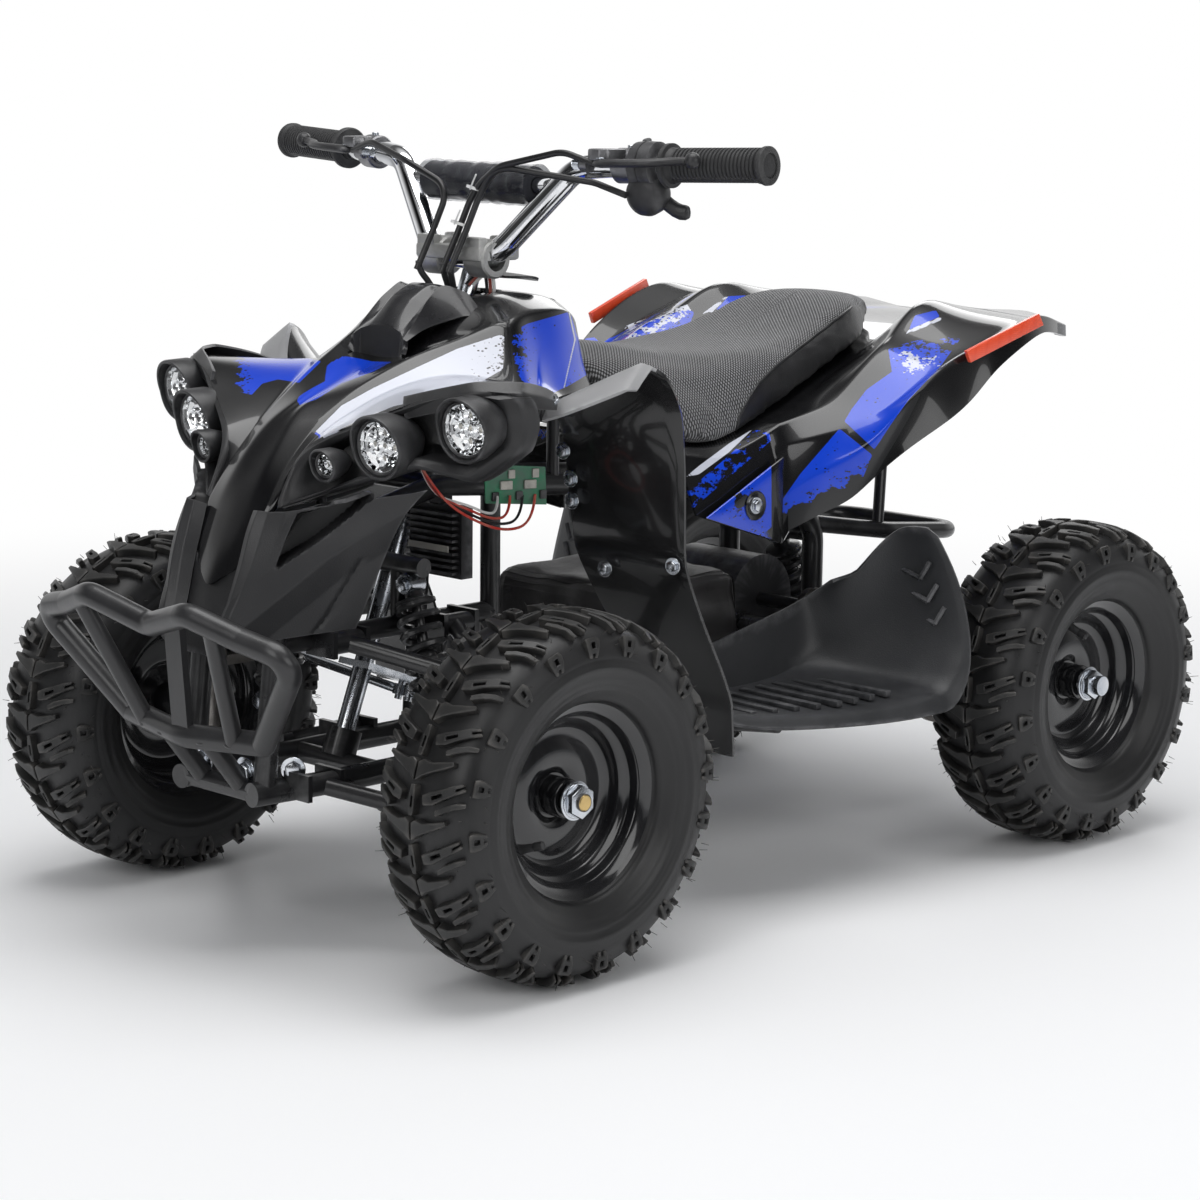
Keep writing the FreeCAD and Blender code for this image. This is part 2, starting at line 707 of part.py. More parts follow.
def plate(centre, back, half_wide, thick):
    """Flat plate square to the column, reaching back from its axis."""
    slab = Part.makeBox(back + 12, 2 * half_wide, thick, Vector(-12, -half_wide, -thick / 2))
    slab.Placement = Placement(centre, Rotation(column_back, Vector(0, 1, 0), column_way, "ZXY"))
    return slab


pitman = plate(pitman_centre, size("steerArm") + 10, 3 * PIN_Y, 6)
pins = [rod(Vector(p.x, sign * PIN_Y, p.z), Vector(p.x, sign * PIN_Y, p.z) - column_way * 20, STUD_R)
        for p in [pin_mid] for sign in (1, -1)]
stem = fused([rod(COLUMN_FOOT, COLUMN_HEAD, COLUMN_R), pitman, plate(on_column(560), 24, 22, 6)]
             + pins)

# Tie rods, each pinned at the pitman plate; the eye at the knuckle runs free
TIE_R = 4.5
EYE_R = 6.5
STUD_EYE_R = 8.4
pin_eye_at = Vector(pin_at.x, pin_at.y, pin_at.z) - column_way * 11
stud_play = 2.4
tie_end = stud_at + Vector(0, 0, 10 + 4.5 + 4)
tie_body = fused([
    rod(pin_eye_at, tie_end, TIE_R),
    rod(pin_eye_at - column_way * 5, pin_eye_at + column_way * 5, EYE_R),
    rod(tie_end - Vector(0, 0, 4.5), tie_end + Vector(0, 0, 4.5), STUD_EYE_R),
])
tie_body = tie_body.cut([
    rod(pin_eye_at - column_way * 20, pin_eye_at + column_way * 20,
        STUD_R + size("runningGap")),
    rod(tie_end - Vector(0, 0, 20), tie_end + Vector(0, 0, 20), STUD_R + stud_play),
])
tie_left = one_solid(tie_body)
keep("tie_rod_left", tie_left)
keep("tie_rod_right", mirrored(tie_left))

# Handlebar, risers, pad, grips, levers, throttle
BAR = size("barRadius")
BAR_HALF = size("barHalf")
bar_half = [at(162, BAR_HALF, 703), at(186, 150, 697), at(194, 118, 694), at(225, 40, 608),
            at(225, 0, 608)]
bar_points = bar_half[:-1] + [Vector(p.x, -p.y, p.z) for p in reversed(bar_half[:-1])]
bar_shape = tube(bar_points, BAR, 55)
CROSS = 7
CROSS_Y = 100
cross_at = at(200, 0, 676)
cross_bar = across(cross_at, -CROSS_Y, CROSS_Y, CROSS)
bar_all = fused([bar_shape, cross_bar])
keep("handlebar", bar_all)
pad_shape = across(cross_at, -72, 72, 18).cut(across(cross_at, -80, 80, CROSS + GAP))
keep("bar_pad", one_solid(pad_shape))
riser = block(at(192, -46, 591), at(246, 46, 626))
riser = riser.cut([bar_all, rod(COLUMN_FOOT, COLUMN_HEAD, COLUMN_R)])
bar_way = (bar_half[1] - bar_half[0]).normalize()
GRIP_IN = 106
GRIP = size("gripRadius")
grip_shape = rod(bar_half[0] - bar_way * 4, bar_half[0] + bar_way * GRIP_IN, GRIP)
grip_shape = grip_shape.fuse(rod(bar_half[0] + bar_way * (GRIP_IN - 6),
                                 bar_half[0] + bar_way * GRIP_IN, GRIP + 4))
grip_shape = one_solid(grip_shape.cut(rod(bar_half[0], bar_half[0] + bar_way * 200, BAR + GAP)))
keep("grips", both(grip_shape))


def bar_at(back):
    """Point of the straight bar end, measured in from its tip."""
    return bar_half[0] + bar_way * back


PERCH_HALF = 16
perch_low = bar_at(140)
perch_high = bar_at(160)
perch = rod(perch_low, perch_high, BAR + 5)
lever_pivot = bar_at(150) + Vector(34, 0, 0)
lever = fused([
    perch,
    block(perch_low + Vector(8, -PERCH_HALF, -7), lever_pivot + Vector(8, PERCH_HALF, 7)),
    tube([lever_pivot, lever_pivot + bar_way * -60 + Vector(6, 0, 2),
          at(196, 262, 706)], 5, 60),
    Part.makeSphere(8, at(196, 262, 706)),
])
clamp_hole = rod(bar_at(0), bar_at(200), BAR + GAP)
lever = one_solid(lever.cut(clamp_hole))
keep("levers", both(lever))
throttle = fused([
    rod(bar_at(112), bar_at(134), BAR + 9),
    block(bar_at(134) + Vector(-12, 0, -38), bar_at(112) + Vector(14, 0, 0)),
])
throttle = one_solid(throttle.cut([clamp_hole, lever]))
keep("throttle", throttle)

# Control cables: from the levers and the throttle to the hole ahead of the stem
CABLE = size("cableRadius")
TIE_POINT = at(232, 26, 672)
lead_in = at(262, 10, 596)


def cable(start, side, slot):
    """Cable with tangent arcs from one control to the hood's opening."""
    shift = Vector(0, slot, 0)
    return tube([start, start + Vector(6, -side * 34, 10),
                 Vector(TIE_POINT.x + 8, side * 62, TIE_POINT.z + 22),
                 TIE_POINT + shift + Vector(4, 0, 0), at(248, 18, 634) + shift,
                 lead_in + shift], CABLE, 40)


left_start = Vector(lever_pivot.x + 2, perch_low.y - PERCH_HALF - GAP - 1, lever_pivot.z + 2)
cables = [
    cable(left_start, 1, 0),
    cable(Vector(left_start.x, -left_start.y, left_start.z), -1, -34),
    cable(bar_at(138) + Vector(16, 0, -26), 1, 10),
]
keep("control_cables", Part.makeCompound(cables))

# Seat and the rear body under it: half width and height of the seat's lower edge
SEAT_EDGE = [(60, 115, 426), (10, 125, 415), (-60, 121, 434), (-130, 112, 459),
             (-190, 102, 481), (-262, 88, 503), (-330, 70, 515)]
SEAT_TOP = [(516, 80, 508), (508, 98, 500), (503, 100, 500), (507, 99, 503),
            (523, 94, 518), (549, 72, 546), (541, 56, 537)]


def seat_loop(x, low_y, low_z, top_z, ridge_y, ridge_z):
    half = [(0, top_z), (ridge_y * 0.7, top_z - 0.3 * (top_z - ridge_z)), (ridge_y, ridge_z),
            (low_y, low_z + 10), (low_y - 6, low_z)]
    points = [at(x, y, z) for y, z in half]
    other = [at(x, -y, z) for y, z in reversed(half[1:])]
    return points + other


seat_loops = [seat_loop(124, 60, 492, 524, 50, 519)]
for (x, low_y, low_z), (top_z, ridge_y, ridge_z) in zip(SEAT_EDGE, SEAT_TOP):
    seat_loops.append(seat_loop(x, low_y, low_z, top_z, ridge_y, ridge_z))
seat_loops.append(seat_loop(-353, 44, 519, 537, 38, 533))
keep("seat", sections(seat_loops))

# Rear body: from the seat's edge over the hump and the trough to the lip and the skirt
REAR_ROWS = [
    [(60, 0, 426), (60, 115, 426), (60, 124, 414), (57, 131, 396), (54, 136, 378), (50, 140, 361)],
    [(10, 0, 415), (10, 125, 415), (10, 137, 404), (6, 142, 384), (3, 146, 364), (0, 150, 345)],
    [(-60, 0, 434), (-60, 121, 434), (-62, 140, 422), (-61, 145, 390), (-60, 149, 357),
     (-60, 151, 325)],
    [(-108, 0, 450), (-108, 115, 450), (-116, 152, 446), (-113, 172, 428), (-109, 190, 402),
     (-103, 190, 358)],
    [(-132, 0, 459), (-132, 111, 459), (-140, 158, 470), (-138, 196, 454), (-133, 224, 450),
     (-123, 212, 392)],
    [(-160, 0, 470), (-160, 106, 470), (-168, 158, 495), (-166, 219, 475), (-165, 237, 482),
     (-151, 240, 426)],
    [(-195, 0, 481), (-195, 101, 481), (-203, 157, 516), (-208, 221, 491), (-208, 246, 508),
     (-211, 255, 453)],
    [(-245, 0, 498), (-245, 91, 498), (-254, 152, 545), (-256, 222, 507), (-256, 259, 525),
     (-249, 265, 499)],
    [(-290, 0, 508), (-290, 80, 508), (-298, 142, 551), (-302, 226, 521), (-305, 260, 542),
     (-304, 266, 523)],
    [(-345, 0, 516), (-345, 68, 516), (-345, 132, 541), (-349, 214, 528), (-347, 254, 537),
     (-348, 257, 519)],
    [(-400, 0, 522), (-400, 66, 522), (-402, 125, 533), (-406, 184, 527), (-411, 226, 525),
     (-412, 227, 509)],
    [(-476, 0, 518), (-482, 60, 519), (-490, 112, 525), (-480, 148, 523), (-461, 178, 517),
     (-462, 177, 505)],
]
TRAY_DROP = 0.6
rear_rows = []
for row in REAR_ROWS:
    half = [at(*p) for p in row]
    for k in (0, 1):
        half[k].z -= TRAY_DROP
    rear_rows.append(symmetric(half))
keep("rear_body", panel(rear_rows, SHEET))

# Hood with its wings and tank cover
HOOD = [
    [(530, 0, 338), (527, 10, 340), (523, 18, 345), (520, 25, 350), (518, 30, 356)],
    [(513, 0, 375), (512, 16, 376), (510, 27, 377), (509, 34, 378), (508, 38, 379)],
    [(502, 0, 401), (500, 20, 402), (498, 32, 402), (497, 38, 401), (496, 43, 400)],
    [(482, 0, 432), (481, 20, 434), (475, 37, 433), (477, 42, 430), (481, 47, 428)],
    [(456, 0, 462), (455, 18, 463), (451, 37, 457), (453, 42, 453), (463, 51, 456)],
    [(440, 0, 476), (439, 12, 477), (432, 38, 474), (431, 47, 470), (449, 78, 470)],
    [(424, 0, 485), (423, 8, 487), (412, 39, 488), (410, 52, 482), (437, 100, 480)],
    [(405, 0, 492), (404, 12, 494), (392, 41, 501), (388, 60, 494), (424, 126, 491)],
    [(383, 0, 501), (381, 16, 505), (366, 48, 514), (362, 70, 505), (408, 155, 504)],
    [(360, 0, 510), (357, 22, 515), (342, 52, 525), (335, 88, 513), (394, 180, 512)],
    [(343, 0, 517), (341, 26, 519), (318, 60, 534), (312, 105, 513), (381, 220, 514)],
    [(324, 0, 552), (322, 30, 552), (290, 74, 543), (292, 130, 504), (352, 226, 509)],
    [(303, 0, 574), (301, 32, 574), (270, 85, 552), (278, 140, 497), (312, 198, 501)],
    [(262, 0, 584), (262, 34, 586), (247, 86, 558), (247, 126, 493), (258, 150, 490)],
    [(225, 0, 579), (225, 45, 579), (223, 88, 559), (222, 118, 493), (224, 128, 488)],
    [(190, 0, 577), (190, 42, 577), (192, 88, 560), (192, 112, 497), (192, 120, 490)],
    [(157, 0, 572), (157, 50, 573), (165, 83, 560), (162, 98, 496), (161, 104, 489)],
    [(141, 0, 562), (141, 50, 561), (149, 79, 547), (155, 95, 495), (154, 101, 488)],
    [(132, 0, 528), (132, 50, 527), (140, 74, 512), (148, 92, 492), (150, 97, 486)],
]
hood_rows = [symmetric([at(*p) for p in row]) for row in HOOD]
hood = panel(hood_rows, SHEET)
STEM_HOLE = 34
CABLE_HOLE = 22
hood = hood.cut(rod(at(222, 0, 520), at(222, 0, 640), STEM_HOLE))
hood = hood.cut(rod(at(262, 8, 520), at(262, 8, 640), CABLE_HOLE))
keep("hood", one_solid(hood))

# Nose, lower shrouds, lamp pods and lamps
NOSE = [
    [(524, 0, 333), (528, 44, 334)],
    [(538, 0, 304), (538, 41, 306)],
    [(548, 0, 273), (545, 36, 276)],
]
SHROUD = [
    [(425, 146, 416.5), (464, 100, 404), (496, 70, 394), (511, 60, 394), (520, 46, 390)],
    [(431, 126, 372), (472, 92, 366), (508, 68, 362), (528, 58, 360), (527, 44, 358)],
    [(436, 110, 330), (484, 76, 328), (524, 58, 326), (541, 50, 326), (537, 40, 324)],
    [(442, 96, 296), (488, 66, 294), (520, 52, 292), (551, 41, 286), (546, 31, 280)],
]
shroud = panel([[at(*p) for p in row] for row in SHROUD], -SHEET)
keep("shrouds", both(shroud))
nose = panel([symmetric([at(*p) for p in row]) for row in NOSE], -SHEET)
keep("nose_panel", largest(nose.cut(parts["shrouds"].Shape)))
POD = [
    [(380, 222, 513), (394, 166, 505), (427, 112, 482), (460, 52, 452), (494, 44, 398)],
    [(366, 221, 487), (398, 176, 475), (432, 125, 455), (468, 80, 428), (500, 46, 394)],
    [(368, 222, 459), (394, 196, 432), (424, 154, 443), (451, 114, 428), (499, 48, 392)],
]
LAMPS = [((406, 197, 479), "lampRadius"), ((442, 127, 460), "lampRadius"),
         ((466, 84, 442), "smallLampRadius")]
LAMP_OUT = Vector(1, 0.12, -0.12).normalize()
cups = []
mouths = []
lenses = []
for place, radius_name in LAMPS:
    radius = size(radius_name)
    face = at(*place)
    depth = radius * 1.6
    cups.append(rod(face - LAMP_OUT * depth, face + LAMP_OUT * 5, radius + 5))
    mouths.append(rod(face - LAMP_OUT * 6, face + LAMP_OUT * 9, radius + GAP))
    lenses.append(rod(face - LAMP_OUT * (6 - GAP), face + LAMP_OUT * 1, radius))
pod = panel([[at(*p) for p in row] for row in POD], -SHEET)
pod = one_solid(fused([pod] + cups).cut(mouths))
hood_now = parts["hood"].Shape
shroud_now = parts["shrouds"].Shape
keep("lamp_pods", both(largest(pod.cut([hood_now, shroud_now]))))
keep("lamps", Part.makeCompound(lenses + [mirrored(s) for s in lenses]))

# Front mudguards behind the wheels
MUDGUARD = [
    [(298, 180, 490), (268, 212, 508), (240, 243, 531)],
    [(262, 152, 484), (240, 200, 508), (214, 246, 521)],
    [(215, 128, 466), (205, 190, 478), (190, 250, 466)],
    [(200, 122, 410), (192, 190, 410), (188, 250, 400)],
    [(190, 120, 345), (188, 190, 348), (186, 250, 348)],
    [(150, 130, 272), (150, 190, 276), (152, 250, 280)],
    [(119, 140, 219), (119, 190, 219), (119, 250, 219)],
    [(112, 150, 158), (112, 200, 156), (112, 250, 154)],
]
mudguard = panel([[at(*p) for p in row] for row in MUDGUARD], SHEET)
mudguard = one_solid(mudguard.cut(hood_now))
keep("mudguard_left", mudguard)
keep("mudguard_right", mirrored(mudguard))

# Footrests with their heel guards, clear of the rear tyres
heel_x = REAR_X + size("tyreDiameter") / 2 + 17


def heel(x, y, z):
    return Vector(heel_x + x + 188, y, up(z))


FOOT_ROWS = [
    [at(112.6, 142, 216), at(111.8, 148, 196), at(111.8, 190, 195), at(111.8, 240, 193)],
    [at(20, 138, 232), at(20, 144, 188), at(20, 200, 186), at(12, 276, 182)],
    [at(-60, 138, 250), at(-60, 144, 186), at(-60, 200, 185), at(-68, 291, 178)],
    [heel(-140, 140, 284), heel(-140, 146, 186), heel(-140, 204, 185), heel(-150, 292, 180)],
    [heel(-164, 146, 316), heel(-170, 152, 230), heel(-173, 206, 230), heel(-185, 298, 210)],
    [heel(-156, 152, 334), heel(-166, 162, 290), heel(-170, 206, 295), heel(-178, 268, 288)],
    [heel(-148, 160, 340), heel(-160, 170, 332), heel(-162, 206, 338), heel(-164, 246, 340)],
]
footrest = panel([list(reversed(row)) for row in FOOT_ROWS], size("treadSheet"))
keep("footrest_left", footrest)
keep("footrest_right", mirrored(footrest))

# Front bumper
BUMP = size("bumperTube")
bumper_half = [at(594, 0, 305), at(608, 69, 325), at(592, 122, 308), at(580, 178, 296),
               at(544, 92, 206), at(558, 0, 201)]
top = tube([Vector(p.x, -p.y, p.z) for p in reversed(bumper_half[1:-1])] + bumper_half[:-1],
           BUMP, 22)
low_bar = tube([Vector(bumper_half[4].x, -bumper_half[4].y, bumper_half[4].z), bumper_half[5],
                bumper_half[4]], BUMP, 60)
corner_balls = [Part.makeSphere(BUMP, bumper_half[4]),
                Part.makeSphere(BUMP, mirrored(Part.Vertex(bumper_half[4])).Point)]
post = block(at(556, -11, 204), at(563, 11, 300))
post.rotate(at(559, 0, 204), Vector(0, 1, 0), 5)
leg_half = [
    rod(at(601, 92, 316), at(552, 62, 204), 8),
    rod(at(555, 27, 203), at(514, 27, 152), 9),
]
bumper = fused([top, low_bar, post] + corner_balls + leg_half + [mirrored(s) for s in leg_half])
bumper = largest(bumper.cut(frame_now))
keep("front_bumper", bumper)

# Pieces that end at the stem and the bar
stem = one_solid(stem)
keep("steering_stem", stem)
riser = one_solid(riser.cut([stem] + cables))
keep("riser_clamp", riser)

# The frame's posts and bars end against the pieces that they carry
carried = [parts[name].Shape for name in ("rear_body", "hood", "lamp_pods", "footrest_left",
                                          "footrest_right")]
for name in ("frame", "top_frame", "rear_loop"):
    parts[name].Shape = largest(parts[name].Shape.cut(carried))
parts["footrest_bars"].Shape = cut_each(outriggers.Solids, carried)

PATCH_Y = 151 + GAP
SIDE_PANEL = [(-58, 324), (52, 361), (-56, 411)]
side_face = Part.Face(Part.makePolygon([at(x, PATCH_Y, z) for x, z in SIDE_PANEL]
                                       + [at(SIDE_PANEL[0][0], PATCH_Y, SIDE_PANEL[0][1])]))
keep("side_panels", both(side_face.extrude(Vector(0, SHEET, 0))))
REFLECTOR = [(-262, 264.5, 521), (-262, 267, 508), (-331, 262, 524), (-331, 259.5, 537)]
reflect_face = Part.Face(Part.makePolygon([at(*p) for p in REFLECTOR[:3]] + [at(*REFLECTOR[0])]))
other_face = Part.Face(Part.makePolygon([at(*REFLECTOR[k]) for k in (0, 2, 3, 0)]))
REFLECTOR_THICK = Vector(0, 4, 0)
reflector = fused([reflect_face.extrude(REFLECTOR_THICK), other_face.extrude(REFLECTOR_THICK)])
keep("reflectors", both(largest(reflector.cut(parts["rear_body"].Shape))))

doc.recompute()
for thing in doc.Objects:
    if "Invalid" in thing.State or "Error" in thing.State:
        raise ValueError("failed object: " + thing.Label)
bad = [label for label, thing in parts.items()
       if thing.Shape.isNull() or not thing.Shape.isValid()]
if bad:
    raise ValueError("bad shapes: " + ", ".join(bad))
os.makedirs("parts", exist_ok=True)
for label, thing in parts.items():
    shape = thing.Shape
    print(label, len(shape.Solids), round(shape.Volume / 1000, 1),
          [round(v) for v in (shape.BoundBox.XMin, shape.BoundBox.XMax, shape.BoundBox.YMin,
                              shape.BoundBox.YMax, shape.BoundBox.ZMin, shape.BoundBox.ZMax)])
    shape.exportStep(os.path.join("parts", label + ".step"))
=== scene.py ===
"""Child-size electric quad bike on its four knobbly tyres, seen from its front left."""

import json
import math
import random

import bmesh
import bpy
from mathutils import Matrix, Vector, noise

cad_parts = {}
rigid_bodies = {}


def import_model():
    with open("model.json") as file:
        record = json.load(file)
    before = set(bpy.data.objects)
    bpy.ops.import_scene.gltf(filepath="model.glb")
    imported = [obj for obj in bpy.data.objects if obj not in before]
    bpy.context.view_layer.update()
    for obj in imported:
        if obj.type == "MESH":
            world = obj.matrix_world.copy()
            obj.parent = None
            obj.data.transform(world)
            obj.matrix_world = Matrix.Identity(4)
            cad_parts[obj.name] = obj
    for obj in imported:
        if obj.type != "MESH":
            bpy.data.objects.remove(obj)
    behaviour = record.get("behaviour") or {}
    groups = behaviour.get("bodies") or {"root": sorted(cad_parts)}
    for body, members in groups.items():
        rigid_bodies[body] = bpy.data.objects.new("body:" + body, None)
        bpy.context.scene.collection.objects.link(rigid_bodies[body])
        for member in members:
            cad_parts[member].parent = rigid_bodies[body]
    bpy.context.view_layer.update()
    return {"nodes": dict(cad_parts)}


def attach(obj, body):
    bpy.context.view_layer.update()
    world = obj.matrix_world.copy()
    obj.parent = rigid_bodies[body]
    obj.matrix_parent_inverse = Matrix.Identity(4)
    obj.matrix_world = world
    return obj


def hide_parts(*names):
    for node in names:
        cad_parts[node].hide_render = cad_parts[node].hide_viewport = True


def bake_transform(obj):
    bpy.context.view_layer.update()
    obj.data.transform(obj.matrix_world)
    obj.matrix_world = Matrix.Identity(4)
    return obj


for leftover in list(bpy.data.objects):
    bpy.data.objects.remove(leftover)
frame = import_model()

# The drawing's millimetres, measured from the middle of the wheelbase
MIDDLE_X = 42.5
FRONT_AXLE = Vector((0.3275, 0, 0.165))
REAR_AXLE = Vector((-0.4125, 0, 0.165))
WHEEL_Y = 0.270


def at(x, y, z):
    return Vector(((x - MIDDLE_X) / 1000, y / 1000, z / 1000))


def points(rows):
    return [at(*p) for p in rows]


# Camera, light and floor

CAMERA_AT = Vector((2.2366, 2.2075, 0.828))
CAMERA_RIGHT = Vector((-0.7032, 0.7109, 0.0120))
CAMERA_UP = Vector((-0.1180, -0.1334, 0.9840))
CAMERA_BACK = Vector((0.7011, 0.6906, 0.1777))
LENS = 96.66
SENSOR = 36
PICTURE = 1200
REACH = LENS / SENSOR * PICTURE


def seen_at(spot):
    """Where the camera sees a point, in picture points from the top left."""
    away = spot - CAMERA_AT
    scale = REACH / -away.dot(CAMERA_BACK)
    return PICTURE / 2 + away.dot(CAMERA_RIGHT) * scale, PICTURE / 2 - away.dot(CAMERA_UP) * scale


def sight_line(px, py):
    """Direction from the camera through a picture point."""
    across = CAMERA_RIGHT * (px - PICTURE / 2) - CAMERA_UP * (py - PICTURE / 2)
    return (across - CAMERA_BACK * REACH).normalized()


def place_camera():
    data = bpy.data.cameras.new("camera")
    camera = bpy.data.objects.new("camera", data)
    bpy.context.scene.collection.objects.link(camera)
    turn = Matrix((CAMERA_RIGHT, CAMERA_UP, CAMERA_BACK)).transposed()
    camera.matrix_world = Matrix.Translation(CAMERA_AT) @ turn.to_4x4()
    data.sensor_width = SENSOR
    data.lens = LENS
    data.clip_end = 200
    bpy.context.scene.camera = camera


def soft_lamp(name, place, aim, wide, high, watts):
    data = bpy.data.lights.new(name, "AREA")
    data.shape = "RECTANGLE"
    data.size, data.size_y = wide, high
    data.energy = watts
    lamp = bpy.data.objects.new(name, data)
    lamp.location = place
    lamp.rotation_euler = (Vector(aim) - Vector(place)).to_track_quat("-Z", "Y").to_euler()
    bpy.context.scene.collection.objects.link(lamp)


def add_background(tree, colour, strength):
    node = tree.nodes.new("ShaderNodeBackground")
    node.inputs["Color"].default_value = (*colour, 1)
    node.inputs["Strength"].default_value = strength
    return node


def mix_shaders(tree, factor, first, second):
    node = tree.nodes.new("ShaderNodeMixShader")
    tree.links.new(factor, node.inputs[0])
    tree.links.new(first.outputs[0], node.inputs[1])
    tree.links.new(second.outputs[0], node.inputs[2])
    return node


def light_studio():
    scene = bpy.context.scene
    scene.view_settings.view_transform = "Standard"
    world = bpy.data.worlds.new("studio")
    scene.world = world
    world.use_nodes = True
    tree = world.node_tree
    tree.nodes.clear()
    soft = add_background(tree, (0.95, 0.97, 1), 0.36)
    white = add_background(tree, (1, 1, 1), 1)
    # Reflections: a white backdrop behind the object, a light ceiling, a dark room in front
    way = tree.nodes.new("ShaderNodeTexCoord").outputs["Generated"]
    split = tree.nodes.new("ShaderNodeSeparateXYZ")
    tree.links.new(way, split.inputs[0])
    away = tree.nodes.new("ShaderNodeVectorMath")
    away.operation = "DOT_PRODUCT"
    away.inputs[1].default_value = (-0.712, -0.702, 0)
    tree.links.new(way, away.inputs[0])
    backdrop = add_range(tree, away.outputs["Value"], -0.1, 0.6, 0.05, 1.1, smooth=True)
    low_down = add_range(tree, split.outputs["Z"], 0.3, 0.62, 1.0, 0.12, smooth=True)
    backdrop = add_math(tree, "MULTIPLY", backdrop, low_down)
    ceiling = add_range(tree, split.outputs["Z"], 0.68, 0.96, 0.0, 0.9, smooth=True)
    mirrored = tree.nodes.new("ShaderNodeBackground")
    tree.links.new(add_math(tree, "ADD", backdrop, ceiling), mirrored.inputs["Strength"])
    path = tree.nodes.new("ShaderNodeLightPath")
    rays = path.outputs
    seen = add_math(tree, "MAXIMUM", rays["Is Camera Ray"], rays["Is Transmission Ray"])
    lit = mix_shaders(tree, rays["Is Glossy Ray"], soft, mirrored)
    shown = mix_shaders(tree, seen, lit, white)
    out = tree.nodes.new("ShaderNodeOutputWorld")
    tree.links.new(shown.outputs[0], out.inputs["Surface"])
    soft_lamp("top_softbox", (0.1, 0.2, 2.6), (0, 0, 0.2), 2.2, 2.0, 40)
    soft_lamp("front_softbox", (2.6, 0.6, 1.5), (0.1, 0, 0.35), 1.3, 1.5, 16)
    soft_lamp("left_softbox", (0.3, 2.8, 1.3), (0, 0, 0.3), 2.0, 1.3, 17)
    soft_lamp("rear_softbox", (-2.4, -1.2, 1.9), (0, 0, 0.3), 1.6, 1.2, 14)


def lay_floor():
    """White floor that turns to plain white away from the object, for the camera alone."""
    bpy.ops.mesh.primitive_circle_add(vertices=96, radius=30, fill_type="NGON", location=(0, 0, 0))
    floor = bpy.context.object
    floor.name = "floor"
    material, tree, shader = start_material("floor_white")
    shader.inputs["Base Color"].default_value = (0.93, 0.93, 0.935, 1)
    shader.inputs["Roughness"].default_value = 0.85
    glow = tree.nodes.new("ShaderNodeEmission")
    glow.inputs["Color"].default_value = (1, 1, 1, 1)
    reach = tree.nodes.new("ShaderNodeVectorMath")
    reach.operation = "LENGTH"
    tree.links.new(add_place(tree), reach.inputs[0])
    fade = add_range(tree, reach.outputs["Value"], 0.75, 2.3, smooth=True)
    camera_ray = tree.nodes.new("ShaderNodeLightPath").outputs["Is Camera Ray"]
    shown = mix_shaders(tree, add_math(tree, "MULTIPLY", camera_ray, fade), shader, glow)
    tree.links.new(shown.outputs[0], tree.nodes["Material Output"].inputs["Surface"])
    floor.data.materials.append(material)


# Shared effects: node groups

def open_group(name, inputs, outputs):
    group = bpy.data.node_groups.new(name, "ShaderNodeTree")
    for label, kind, value in inputs:
        socket = group.interface.new_socket(label, in_out="INPUT", socket_type=kind)
        socket.default_value = value
    for label, kind in outputs:
        group.interface.new_socket(label, in_out="OUTPUT", socket_type=kind)
    start = group.nodes.new("NodeGroupInput")
    end = group.nodes.new("NodeGroupOutput")
    return group, start, end


FLOAT = "NodeSocketFloat"


def add_noise(tree, vector, scale, detail=3, rough=0.5):
    node = tree.nodes.new("ShaderNodeTexNoise")
    node.inputs["Detail"].default_value = detail
    node.inputs["Roughness"].default_value = rough
    if isinstance(scale, (int, float)):
        node.inputs["Scale"].default_value = scale
    else:
        tree.links.new(scale, node.inputs["Scale"])
    tree.links.new(vector, node.inputs["Vector"])
    return node.outputs["Fac"]


def add_math(tree, operation, first, second=0.0, third=None, clamp=False):
    node = tree.nodes.new("ShaderNodeMath")
    node.operation = operation
    node.use_clamp = clamp
    for k, value in enumerate((first, second, third)):
        if value is None:
            continue
        if isinstance(value, (int, float)):
            node.inputs[k].default_value = value
        else:
            tree.links.new(value, node.inputs[k])
    return node.outputs[0]


def add_range(tree, value, low, high, to_low=0.0, to_high=1.0, smooth=False):
    node = tree.nodes.new("ShaderNodeMapRange")
    if smooth:
        node.interpolation_type = "SMOOTHSTEP"
    node.inputs["From Min"].default_value = low
    node.inputs["From Max"].default_value = high
    node.inputs["To Min"].default_value = to_low
    node.inputs["To Max"].default_value = to_high
    tree.links.new(value, node.inputs["Value"])
    return node.outputs[0]


def add_mix(tree, factor, first, second):
    node = tree.nodes.new("ShaderNodeMix")
    node.data_type = "RGBA"
    for socket, value in ((node.inputs[0], factor), (node.inputs[6], first), (node.inputs[7], second)):
        if isinstance(value, (int, float)):
            socket.default_value = value
        elif isinstance(value, tuple):
            socket.default_value = (*value, 1)
        else:
            tree.links.new(value, socket)
    return node.outputs[2]


def add_place(tree):
    return tree.nodes.new("ShaderNodeTexCoord").outputs["Object"]


def make_grain_group():
    """Spark-eroded grain of moulded plastic: a height and a mottled shade."""
    group, start, end = open_group(
        "moulded_grain", [("Scale", FLOAT, 900)], [("Height", FLOAT), ("Shade", FLOAT)])
    place = add_place(group)
    group.links.new(add_noise(group, place, start.outputs["Scale"], 2, 0.6), end.inputs["Height"])
    group.links.new(add_noise(group, place, 9, 3, 0.5), end.inputs["Shade"])
    return group


